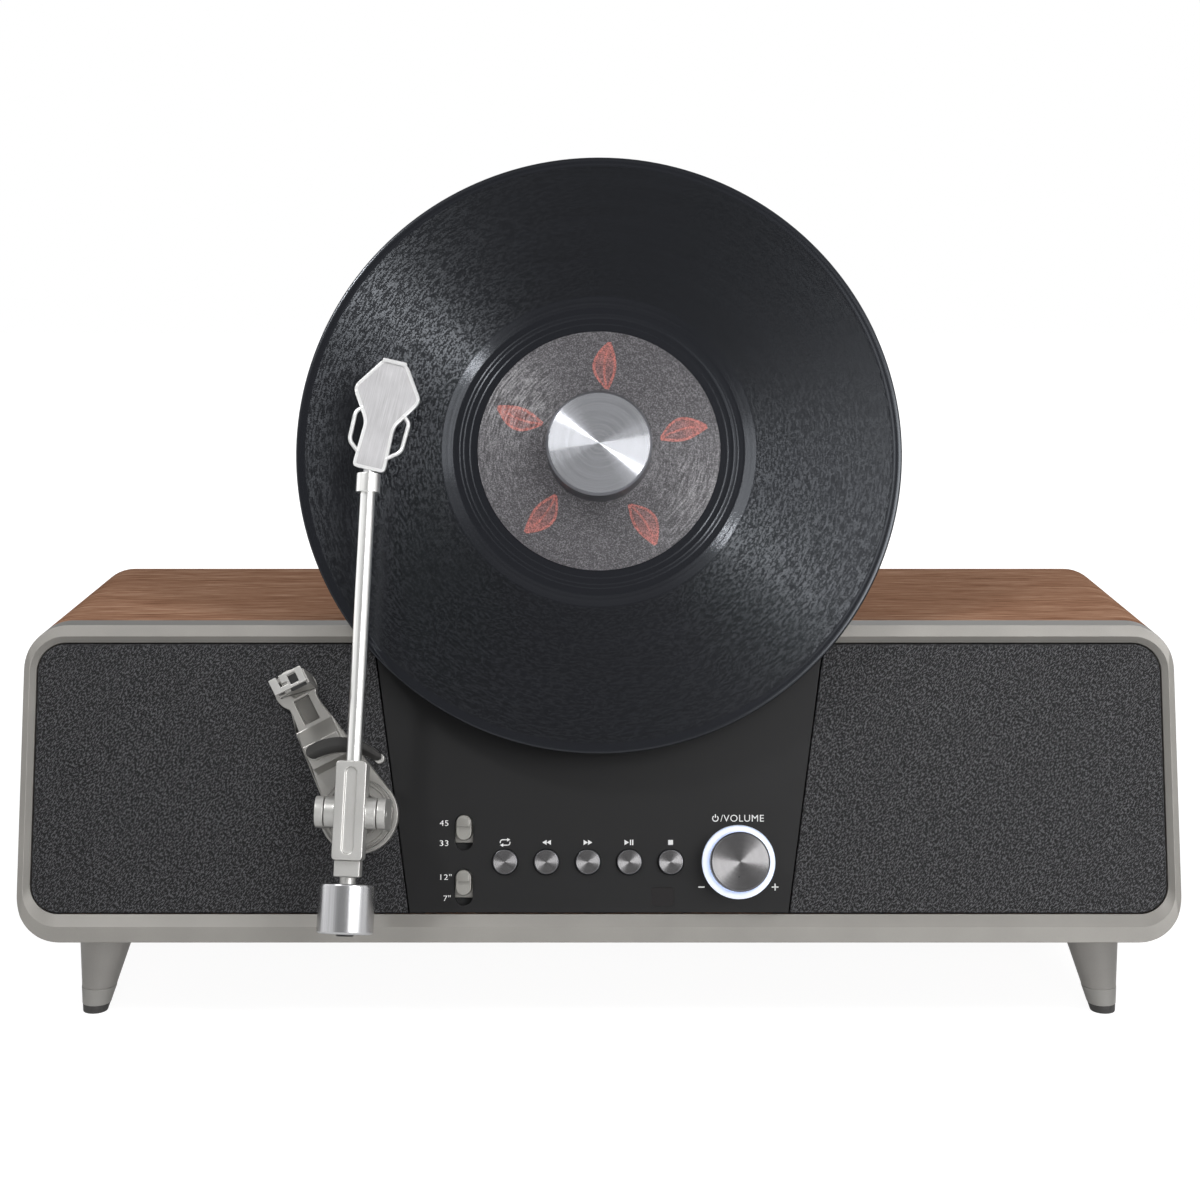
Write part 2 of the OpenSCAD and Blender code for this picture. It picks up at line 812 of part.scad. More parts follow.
// Closed loop round the belt rim and the pulley, at a distance outside both
module belt_loop(d) {
  big_r = rim_r + d;
  small_r = pulley_r + d;
  tilt = acos((big_r - small_r) / motor_reach);
  circle(big_r);
  translate([motor_reach, 0]) circle(small_r);
  polygon([
    big_r * [cos(tilt), sin(tilt)], big_r * [cos(tilt), -sin(tilt)],
    [motor_reach, 0] + small_r * [cos(tilt), -sin(tilt)],
    [motor_reach, 0] + small_r * [cos(tilt), sin(tilt)]
  ]);
}

module drive_belt() {
  color(dark_rubber) on_face() at_spindle() rotate(motor_angle)
    slab(belt_low, belt_low + belt_w) difference() {
      belt_loop(move_gap + belt_t);
      belt_loop(move_gap);
    }
}

module spindle() {
  color(bright_metal) on_face() at_spindle() {
    disc(shaft_r, -core_back + bearing_floor + move_gap, platter_top);
    disc(pin_r, platter_top, record_top + clamp_bore_h - pin_gap);
  }
}

module platter() {
  color(bright_metal) on_face() at_spindle() difference() {
    union() {
      disc(platter_r, platter_lift, platter_top);
      disc(rim_r, rim_low, platter_lift);
    }
    difference() {
      disc(rim_r - rim_wall, rim_low - 1, platter_lift);
      disc(hub_r, rim_low - 2, platter_lift + 1);
    }
    disc(shaft_r, rim_low - 1, platter_top + 1);
  }
}

module platter_mat() {
  color(dark_rubber) on_face() at_spindle() difference() {
    disc(platter_r - 1, platter_top, platter_top + mat_t);
    disc(hole_r, platter_top - 1, record_top);
  }
}

module record() {
  color([0.06, 0.06, 0.075]) on_face() at_spindle() difference() {
    disc(record_r, platter_top + mat_t, record_top);
    disc(hole_r, platter_top, record_top + 1);
  }
}

module record_label() {
  color([0.30, 0.27, 0.27]) on_face() at_spindle() difference() {
    disc(label_r, record_top, record_top + label_t);
    disc(hole_r, record_top - 1, record_top + 1);
  }
}

module record_clamp() {
  chamfer = 1;
  low = record_top + label_t;
  color(bright_metal) on_face() at_spindle() difference() {
    translate([0, 0, low]) rotate_extrude() polygon([
      [0, 0], [clamp_r - chamfer, 0], [clamp_r, chamfer], [clamp_r, clamp_h - chamfer],
      [clamp_r - chamfer, clamp_h], [0, clamp_h]
    ]);
    disc(hole_r, low - 1, record_top + clamp_bore_h);
  }
}

// Pivot of the arm on the face
module at_pivot() {
  on_face() translate([pivot_u, pivot_v, 0]) children();
}

// Rest bracket's own frame: y runs from the pivot to the rest
module along_rest() {
  rotate(rest_turn) children();
}

// Arm's own frame: y runs along the tube, z away from the record, from the gimbal's centre
module on_arm() {
  at_pivot() translate([0, 0, arm_height]) rotate(-arm_turn) children();
}

// Headshell's own frame, from the middle of its lower edge
module on_shell() {
  on_arm() translate([0, tube_reach + shell_gap, 0]) rotate(-shell_turn) children();
}

// Cylinder along the arm between two distances from the pivot
module along_arm(r, from, to) {
  translate([0, from, 0]) rotate([-90, 0, 0]) cylinder(r = r, h = to - from);
}

// Cylinder across the arm, centred on its axis
module across_arm(r, l) {
  rotate([0, 90, 0]) cylinder(r = r, h = l, center = true);
}

module tonearm_base() {
  hump_from = lifter_guide_r - 7;
  hump_to = lifter_guide_r + 13;
  hump_half = rest_foot - 0.6;
  post_y = rest_reach - post_l / 2;
  color(warm_grey) at_pivot() difference() {
    union() {
      slab(0, base_t) {
        circle(base_r);
        along_rest() polygon([
          [-base_r * 0.68, base_r * 0.5], [base_r * 0.984, base_r * 0.18],
          [rest_foot, hump_to - 3], [rest_waist, waist_y], [rest_waist, rest_reach],
          [-rest_waist, rest_reach], [-rest_waist, waist_y], [-rest_foot, hump_to - 1]
        ]);
        along_rest() translate([rest_end_p, rest_reach]) circle(rest_end_r);
      }
      disc(base_r - 2.2, base_t / 2, base_t + turret_ring_h);
      disc(pivot_boss_r, -grille_t, base_t / 2);
      along_rest() {
        translate([-hump_half, 0, 0]) rotate([90, 0, 90]) linear_extrude(2 * hump_half) polygon([
          [hump_from, base_t - 1], [hump_from + 2, base_t + hump_h],
          [lifter_guide_r + 5, base_t + hump_h], [hump_to, base_t - 1]
        ]);
        translate([post_left, post_y, base_t / 2])
          cube([post_right - post_left, post_l, cradle_top - base_t / 2]);
        for (y = [post_y, post_y + post_l - ear_w])
          translate([clip_left, y, clip_axis_n - 3])
            cube([post_left - clip_left, ear_w, 5]);
      }
    }
    along_rest() {
      translate([cradle_p - cradle_w / 2, 0, cradle_top - cradle_floor])
        cube([cradle_w, big, cradle_floor + 1]);
      translate([-channel_w / 2, hump_to + 1, base_t - channel_d])
        cube([channel_w, post_y - hump_to - 2, channel_d + 1]);
      translate([0, lifter_guide_r, 0]) disc(lifter_post_r + run_play, 1, big);
      translate([clip_axis_p, rest_reach, clip_axis_n]) along_arm(clip_pin_r, -post_l, post_l);
    }
    disc(pivot_r + run_play, -grille_t - 1, big);
  }
}

module rest_clip() {
  y = rest_reach - post_l / 2;
  barrel = post_l - 2 * ear_w - 2 * move_gap;
  window_in = cradle_p - 1.6;
  color(warm_grey) at_pivot() along_rest() difference() {
    union() {
      translate([clip_left, rest_reach - barrel / 2, clip_axis_n])
        cube([clip_spine_t, barrel, clip_low + clip_t - clip_axis_n]);
      translate([clip_axis_p, rest_reach, clip_axis_n])
        along_arm(clip_spine_t / 2, -barrel / 2, barrel / 2);
      translate([clip_left, y, clip_low]) cube([post_right - clip_left, post_l, clip_t]);
    }
    translate([clip_axis_p, rest_reach, clip_axis_n]) along_arm(clip_pin_r + run_play, -post_l, post_l);
    translate([window_in, y + 1.2, clip_low - 1]) cube([3.6, post_l - 2.4, clip_t + 2]);
    translate([clip_left + 3.2, y + 2, clip_low - 1]) cube([window_in - clip_left - 4.2, 1.2, clip_t + 2]);
    translate([clip_left + 3.2, y + 2, clip_low - 1]) cube([1.2, post_l - 1, clip_t + 2]);
  }
}

module rest_clip_pin() {
  color(bright_metal) at_pivot() along_rest() translate([clip_axis_p, rest_reach, clip_axis_n])
    along_arm(clip_pin_r, -post_l / 2, post_l / 2);
}

// Distance from the pivot to a circle in a direction given in degrees from the face's vertical
function reach(centre, r, a) =
  let (along = [sin(a), cos(a)] * centre) along + sqrt(r * r - centre * centre + along * along);

// Crescent over the pivot with round ends, reaching an angle to the right
module lifter_arc(right) {
  far = 2 * lifter_out_r;
  intersection() {
    difference() {
      translate(lifter_out_at) circle(lifter_out_r);
      translate(lifter_in_at) circle(lifter_in_r);
    }
    polygon([
      [0, 0], far * [sin(right), cos(right)], [0, far], far * [-sin(lifter_left), cos(lifter_left)]
    ]);
  }
  for (a = [right, -lifter_left]) {
    inner = reach(lifter_in_at, lifter_in_r, a);
    outer = reach(lifter_out_at, lifter_out_r, a);
    translate((inner + outer) / 2 * [sin(a), cos(a)]) circle((outer - inner) / 2 + move_gap);
  }
}

module cue_lifter() {
  color(warm_grey) at_pivot() {
    slab(pad_low - lifter_t, pad_low) lifter_arc(lifter_right + lifter_tip);
    along_rest() translate([0, lifter_guide_r, 0])
      disc(lifter_post_r, 1 + move_gap, pad_low - lifter_t);
  }
}

module cue_pad() {
  color(dark_rubber) at_pivot() slab(pad_low, pad_low + pad_t) lifter_arc(lifter_right);
}

module arm_yoke() {
  color(warm_grey) at_pivot() difference() {
    union() {
      disc(turret_r, turret_low, turret_low + turret_t);
      disc(pivot_r, -grille_t, turret_low);
      rotate(-arm_turn) for (x = [-1, 1]) {
        translate([x * (ear_in + ear_t / 2), 0, 0]) {
          translate([-ear_t / 2, -trunnion_r, turret_low + turret_t / 2])
            cube([ear_t, 2 * trunnion_r, arm_height - turret_low - turret_t / 2]);
          translate([0, 0, arm_height]) across_arm(trunnion_r, ear_t);
        }
      }
    }
    rotate(-arm_turn) translate([0, 0, arm_height]) across_arm(gimbal_r + run_play, big);
  }
}

module gimbal_pin() {
  color(bright_metal) on_arm() across_arm(gimbal_r, 2 * (ear_in + ear_t) - 0.6);
}

module arm_block() {
  middle = (block_fore - block_aft) / 2;
  groove_w = 4.4;
  groove_depth = 1.4;
  color(warm_grey) on_arm() difference() {
    union() {
      translate([0, middle]) slab(-block_bottom, block_top)
        rounded(block_w, block_fore + block_aft, 1.6);
      across_arm(trunnion_r, 2 * (ear_in - move_gap));
    }
    translate([0, middle]) slab(block_top - groove_depth, block_top + 1)
      capsule(groove_w, block_fore + block_aft - 5);
    across_arm(gimbal_r + run_play, big);
    along_arm(tube_r, block_fore - 6, block_fore + 1);
  }
}

module arm_tube() {
  color(bright_metal) on_arm() along_arm(tube_r, block_fore - 6, tube_reach - collar_end);
}

module headshell_collar() {
  color(bright_metal) on_arm() difference() {
    along_arm(collar_r, tube_reach - collar_l, tube_reach - collar_end);
    along_arm(tube_r, 0, 2 * tube_reach);
  }
}

// Outline of the headshell: neck, shoulders and blunt nose
module shell_outline() {
  half = [
    [shell_neck_w + 0.4, 0], [shell_neck_w - 0.2, shell_l * 0.42], [shell_half_w - 0.6, shell_l * 0.65],
    [shell_half_w, shell_l * 0.69], [shell_half_w - 0.4, shell_l * 0.73], [shell_half_w * 0.36, shell_l]
  ];
  polygon(concat(half, [for (i = [len(half) - 1:-1:0]) [-half[i][0], half[i][1]]]));
}

// Finger loop on the right of the neck
module finger_loop() {
  in_x = shell_neck_w - loop_bar;
  out_x = shell_neck_w + loop_reach;
  bend = 1.5 * loop_bar;
  difference() {
    polygon([
      [in_x, loop_low], [out_x, loop_elbow], [out_x, loop_elbow + bend],
      [out_x - loop_bar, loop_high], [in_x, loop_high]
    ]);
    polygon([
      [in_x - loop_bar, loop_low + bend], [out_x - loop_bar, loop_elbow + loop_bar / 2],
      [out_x - loop_bar, loop_elbow + bend], [out_x - 2 * loop_bar, loop_high - loop_bar],
      [in_x - loop_bar, loop_high - loop_bar]
    ]);
  }
}

module headshell() {
  socket_r = shell_low + shell_t - 0.1;
  color(bright_metal) {
    on_shell() slab(shell_low, shell_low + shell_t) {
      shell_outline();
      for (x = [0, 1]) mirror([x, 0]) finger_loop();
    }
    on_arm() along_arm(socket_r, tube_reach - collar_end, tube_reach + 9);
  }
}

module cartridge() {
  color(panel_black) on_shell() translate([0, shell_l / 2 + cartridge_l / 2])
    slab(shell_low - cartridge_h, shell_low) rounded(cartridge_w, cartridge_l, 1.2);
}

module stylus() {
  low = shell_low - cartridge_h;
  holder_h = 2.6;
  tip = record_top + stylus_gap - arm_height;
  color(dark_rubber) on_shell() translate([0, shell_l / 2 + cartridge_l * 0.55]) {
    slab(low - holder_h, low) rounded(cartridge_w / 2, cartridge_l * 0.7, 1);
    translate([0, cartridge_l * 0.15, tip]) cylinder(r1 = 0.2, r2 = 1.1, h = low - holder_h - tip);
  }
}

module arm_stub() {
  color(warm_grey) on_arm() {
    translate([0, -block_aft - neck_l / 2]) slab(-block_bottom + 1, block_top - 2.5)
      square([block_w - 1.9, neck_l], center = true);
    along_arm(stub_r, -weight_to + 2.6, -block_aft - neck_l);
  }
}

module counterweight() {
  color(bright_metal) on_arm() difference() {
    along_arm(weight_r, -weight_to, -weight_from);
    along_arm(stub_r + run_play, -weight_to - 1, 0);
  }
}

module push_button(index) {
  on_face() at_button(index) {
    disc(button_r, -panel_t - move_gap, button_rise);
    disc(button_r + button_flange_w, -panel_t - move_gap - button_flange_t, -panel_t - move_gap);
  }
}

module button_repeat() {
  color(bright_metal) push_button(-2);
}

module button_back() {
  color(bright_metal) push_button(-1);
}

module button_forward() {
  color(bright_metal) push_button(0);
}

module button_play() {
  color(bright_metal) push_button(1);
}

module button_stop() {
  color(bright_metal) push_button(2);
}

module volume_knob() {
  chamfer = 0.8;
  low = ring_rise + move_gap;
  color(bright_metal) on_face() at_volume() difference() {
    rotate_extrude() polygon([
      [0, low], [volume_r, low], [volume_r, volume_h - chamfer], [volume_r - chamfer, volume_h], [0, volume_h]
    ]);
    disc(volume_shaft_r + run_play, 0, volume_h - 2);
  }
}

module volume_shaft() {
  color(bright_metal) on_face() at_volume() disc(volume_shaft_r, -panel_t - 2, volume_h - 2 - move_gap);
}

function encoder_bush_r() = volume_shaft_r + 1.9;

module volume_encoder() {
  color(bright_metal) on_face() at_volume() difference() {
    union() {
      slab(-board_n, -panel_t - 1) rounded(13, 13, 1);
      disc(encoder_bush_r(), -panel_t - 1, -panel_t / 2);
    }
    disc(volume_shaft_r + run_play, -panel_t - 2 - 1.6, 1);
  }
}

// Clear light guide: a raised ring with a thin floor under the knob
module light_ring() {
  color([0.80, 0.86, 0.95]) on_face() at_volume() difference() {
    disc(ring_r, -panel_t, ring_rise);
    disc(ring_r - ring_w, -panel_t / 2, ring_rise + 1);
    disc(encoder_bush_r(), -panel_t - 1, 1);
  }
}

// Knob of a slide switch with its retaining foot, in the upper position
module slider(v) {
  foot = 1.8;
  on_face() translate([slider_u, v + slider_travel / 2]) {
    slab(-panel_t - move_gap, button_rise) capsule(slider_w, slider_l);
    slab(-panel_t - move_gap - foot, -panel_t - move_gap) rounded(slider_w + 3, slider_l + 2, 1);
  }
}

module speed_slider() {
  color(warm_grey) slider(slider_top_v);
}

module size_slider() {
  color(warm_grey) slider(slider_low_v);
}

module remote_window() {
  color([0.10, 0.09, 0.10]) on_face() translate([window_u, window_v])
    slab(-panel_t, 0) rounded(window_w, window_h, 1.5);
}

// Board behind the controls, on pillars from the panel, with its switches
module control_board() {
  left = slider_u - 11;
  right = volume_u + 11;
  low = window_v - 4;
  high = slider_top_v + 12;
  pillar_r = 2.2;
  switch_n = -panel_t - move_gap - button_flange_t - button_travel - move_gap;
  foot_n = -panel_t - 2 * move_gap - 1.8;
  color(board_green) on_face() {
    slab(-board_n - board_t, -board_n) translate([left, low]) square([right - left, high - low]);
    for (u = [left + 3, right - 3]) translate([u, high - 3]) disc(pillar_r, -board_n, -panel_t);
    for (i = [-2, 2]) at_button(i) translate([0, -14]) disc(pillar_r, -board_n, -panel_t);
    for (i = [-2:2]) at_button(i) slab(-board_n, switch_n) square(key_switch_w, center = true);
    for (v = [slider_top_v, slider_low_v])
      translate([slider_u, v]) slab(-board_n, foot_n) square([slide_body_w, slide_body_l], center = true);
  }
}

// Amplifier and supply board on the cabinet floor
module main_board() {
  near = rear_y - rear_panel_t - main_board_back - main_board_d;
  pillar_r = main_board_lift / 2;
  corner = [main_board_w / 2 - pillar_r - 1, main_board_d / 2 - pillar_r - 1];
  color(board_green) translate([0, face_y + near + main_board_d / 2, leg_h + wrap_wall]) {
    translate([0, 0, main_board_lift]) linear_extrude(board_t)
      square([main_board_w, main_board_d], center = true);
    for (x = [-1, 1], y = [-1, 1])
      translate([x * corner[0], y * corner[1], 0]) cylinder(r = pillar_r, h = main_board_lift);
    translate([0, 0, main_board_lift + board_t]) {
      for (i = [1:3]) translate([-i * capacitor_pitch, -main_board_d / 6, 0])
        cylinder(r = capacitor_r, h = capacitor_h);
      translate([main_board_w / 8, -main_board_d / 4, 0])
        cube([heat_sink_w, heat_sink_t, heat_sink_h]);
      translate([0, main_board_d / 6, 0]) cube([heat_sink_w / 2, heat_sink_t, heat_sink_h / 2]);
    }
  }
}

// Socket places on the rear panel's outer face, with z pointing out of the back
module at_socket(x) {
  translate([x, face_y + rear_y, leg_h + socket_z]) rotate([-90, 0, 0]) children();
}

function inlet_body_w() = 2 * inlet_r + 5;
function aux_body_r() = aux_r + 2.2;

module power_inlet() {
  depth = 10;
  color(panel_black) at_socket(inlet_x) {
    difference() {
      union() {
        slab(0, jack_wall) rounded(inlet_body_w() + 4, inlet_body_w() + 4, 1.5);
        slab(-depth - 2, 0) square(inlet_body_w(), center = true);
      }
      disc(inlet_r, -depth, jack_wall + 1);
    }
    disc(inlet_pin_r, -depth, 0);
  }
}

module aux_socket() {
  color(panel_black) at_socket(aux_x) difference() {
    union() {
      disc(aux_body_r() + 1.5, 0, jack_wall);
      disc(aux_body_r(), jack_wall - aux_depth - 1.5, 0);
    }
    disc(aux_r, jack_wall - aux_depth, jack_wall + 1);
  }
}

module line_sockets() {
  color(bright_metal) at_socket(line_x) {
    difference() {
      union() {
        slab(0, jack_wall) rounded(line_pitch + 2 * line_r + 5, 2 * line_r + 5, 2);
        slab(-rear_panel_t - 6, 0) square([line_pitch + 2 * line_r, 2 * line_r], center = true);
        for (x = [-1, 1]) translate([x * line_pitch / 2, 0]) disc(line_r, jack_wall, jack_wall + line_l);
      }
      for (x = [-1, 1]) translate([x * line_pitch / 2, 0]) disc(1.6, -rear_panel_t, jack_wall + line_l + 1);
    }
  }
}

cabinet_wrap();
front_bezel();
rear_panel();
rear_panel_screws();
baffle_left();
baffle_right();
grille_left();
grille_right();
speaker_frame_left();
speaker_frame_right();
speaker_cone_left();
speaker_cone_right();
control_panel();
back_board();
back_board_cover();
bearing_housing();
drive_motor();
motor_pulley();
drive_belt();
spindle();
platter();
platter_mat();
record();
record_label();
record_clamp();
tonearm_base();
arm_yoke();
gimbal_pin();
arm_block();
arm_tube();
headshell_collar();
headshell();
cartridge();
stylus();
arm_stub();
counterweight();
cue_lifter();
cue_pad();
rest_clip();
rest_clip_pin();
button_repeat();
button_back();
button_play();
button_forward();
button_stop();
volume_knob();
volume_shaft();
volume_encoder();
light_ring();
speed_slider();
size_slider();
remote_window();
control_board();
main_board();
power_inlet();
aux_socket();
line_sockets();
legs();
leg_bands();
leg_tips();
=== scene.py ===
"""Looks of a vertical record player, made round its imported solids.

Shapes are drawn in millimetres in a local frame and placed in metres. On the face's frame, u runs
to the right, v up the leaning face and n out of it.
"""
import json
import math

import bmesh
import bpy
from mathutils import Euler, Matrix, Vector

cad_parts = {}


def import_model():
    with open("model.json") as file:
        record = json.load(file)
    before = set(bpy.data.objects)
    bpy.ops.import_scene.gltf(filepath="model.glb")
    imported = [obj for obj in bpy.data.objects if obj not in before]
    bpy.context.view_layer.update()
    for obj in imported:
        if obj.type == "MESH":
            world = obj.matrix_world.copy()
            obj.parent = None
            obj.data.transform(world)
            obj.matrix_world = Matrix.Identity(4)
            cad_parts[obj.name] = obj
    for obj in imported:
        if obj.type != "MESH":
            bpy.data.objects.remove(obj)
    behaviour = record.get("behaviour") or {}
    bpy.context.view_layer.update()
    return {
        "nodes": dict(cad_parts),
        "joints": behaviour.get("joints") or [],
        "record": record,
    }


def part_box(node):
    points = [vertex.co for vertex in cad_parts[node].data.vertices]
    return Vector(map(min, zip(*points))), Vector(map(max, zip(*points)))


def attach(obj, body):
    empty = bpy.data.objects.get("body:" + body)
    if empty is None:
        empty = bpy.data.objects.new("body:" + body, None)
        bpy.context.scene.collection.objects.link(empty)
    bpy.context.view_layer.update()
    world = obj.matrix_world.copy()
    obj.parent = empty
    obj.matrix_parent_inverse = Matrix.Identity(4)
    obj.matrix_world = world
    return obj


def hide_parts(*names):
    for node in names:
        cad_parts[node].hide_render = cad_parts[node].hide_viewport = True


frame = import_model()

MM = 0.001
MERGE = 2e-6
GRAIN_MAP = "grain"
PAINTED_SHADE_MAP = "wall"
KEYS = ("repeat", "back", "forward", "play", "stop")

# Radii on the record where its tracks start, part and end, and those of the smooth lead-out inside them
TRACKS = (65.2, 80.5, 97.4, 121.0)
LEAD_OUT = (60.0, 64.6)
# Radii of the bright rings round the label, and of the proud rings that part the tracks
BRIGHT_RINGS = (53.2, 55.8, 57.4)
PROUD_RINGS = (55.8, 60.6, 62.2, 121.4, 123.0)


# Local frames

def local_frame(origin, x_axis, y_axis):
    """Matrix from millimetres in a local frame to the object's metres."""
    x_axis, y_axis = Vector(x_axis), Vector(y_axis)
    turn = Matrix((x_axis, y_axis, x_axis.cross(y_axis))).transposed().to_4x4()
    return Matrix.Translation(origin) @ turn @ Matrix.Scale(MM, 4)


def shifted(local, u=0.0, v=0.0, n=0.0, turn=0.0):
    """A frame moved in its own millimetres and turned about its normal, in degrees."""
    return local @ Matrix.Translation((u, v, n)) @ Matrix.Rotation(math.radians(turn), 4, "Z")


joint = {entry["name"]: entry for entry in frame["joints"]}
face_n = Vector(joint["platter_spin"]["axis"])
face_u = Vector((1, 0, 0))
face_v = face_n.cross(face_u)
spindle_at = Vector(joint["platter_spin"]["pos_m"])
cabinet_low, cabinet_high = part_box("cabinet_wrap")
SPINDLE = local_frame(spindle_at, face_u, face_v)
FACE = local_frame(spindle_at - face_v * (spindle_at.z - cabinet_low.z) / face_v.z, face_u, face_v)
PIVOT = local_frame(joint["arm_swing_turn"]["pos_m"], face_u, face_v)
ARM = local_frame(joint["arm_lift"]["pos_m"], joint["arm_lift"]["axis"], joint["weight_slide"]["axis"])
SHELL_TURN = -11
SHELL_GAP = 1.4
WORLD = Matrix.Scale(MM, 4)


def solid_points(node, local=FACE):
    """Corners of a solid in millimetres of a local frame."""
    back = local.inverted()
    return [back @ vertex.co for vertex in frame["nodes"][node].data.vertices]


def span(points):
    """Lowest, highest and middle of some points, axis by axis."""
    low = Vector(min(point[axis] for point in points) for axis in range(3))
    high = Vector(max(point[axis] for point in points) for axis in range(3))
    return low, high, (low + high) / 2


def extent(node, local=FACE, above=-1000.0):
    """Lowest, highest and middle points of what a solid has above a height of a local frame."""
    return span([point for point in solid_points(node, local) if point.z > above])


TUBE_END = extent("arm_tube", ARM)[1].y
SHELL = shifted(ARM, v=TUBE_END + SHELL_GAP, turn=SHELL_TURN)


# Node trees

def arithmetic(operation):
    """Method of a wire that adds a Math node for it and another value."""
    return lambda self, other: self.math(operation, other)


class Wire:
    """An output of a node. Arithmetic with numbers and other wires adds Math nodes to its tree."""

    def __init__(self, nodes, socket):
        self.nodes = nodes
        self.socket = socket

    def __getitem__(self, key):
        return Wire(self.nodes, self.socket.node.outputs[key])

    def math(self, operation, *others):
        return self.nodes.math(operation, self, *others)

    def __rsub__(self, other):
        return self.nodes.math("SUBTRACT", other, self)

    __add__ = __radd__ = arithmetic("ADD")
    __sub__ = arithmetic("SUBTRACT")
    __mul__ = __rmul__ = arithmetic("MULTIPLY")
    __truediv__ = arithmetic("DIVIDE")
    __pow__ = arithmetic("POWER")


class Nodes:
    """A node tree that one method fills."""

    def __init__(self, tree):
        self.tree = tree
        tree.nodes.clear()

    def feed(self, socket, value):
        if isinstance(value, Wire):
            self.tree.links.new(value.socket, socket)
        else:
            socket.default_value = value

    def add(self, kind, settings=None, inputs=None):
        """Adds a node of a type, with its settings first and then its sockets' values or wires."""
        node = self.tree.nodes.new(kind)
        for key, value in (settings or {}).items():
            setattr(node, key, value)
        for key, value in (inputs or {}).items():
            self.feed(node.inputs[key], value)
        return Wire(self, node.outputs[0]) if node.outputs else node

    def math(self, operation, *values):
        return self.add("ShaderNodeMath", {"operation": operation}, dict(enumerate(values)))

    def vector(self, operation, *values, **named):
        return self.add("ShaderNodeVectorMath", {"operation": operation}, dict(enumerate(values), **named))

    def split(self, vector):
        return self.add("ShaderNodeSeparateXYZ", inputs={0: vector})

    def mix(self, factor, first, second):
        return self.add("ShaderNodeMix", {"data_type": "RGBA"}, {0: factor, 6: first, 7: second})[2]

    def blend(self, factor, first, second):
        return self.add("ShaderNodeMixShader", inputs={0: factor, 1: first, 2: second})

    def step(self, value, low, high):
        """Smooth rise from 0 to 1 while a value goes from low to high."""
        return self.add("ShaderNodeMapRange", {"interpolation_type": "SMOOTHSTEP"},
                        {0: value, 1: low, 2: high})


def srgb(red, green, blue):
    """Linear colour of a display colour given from 0 to 255."""
    def linear(level):
        level /= 255
        return level / 12.92 if level <= 0.04045 else ((level + 0.055) / 1.055) ** 2.4
    return (linear(red), linear(green), linear(blue), 1.0)


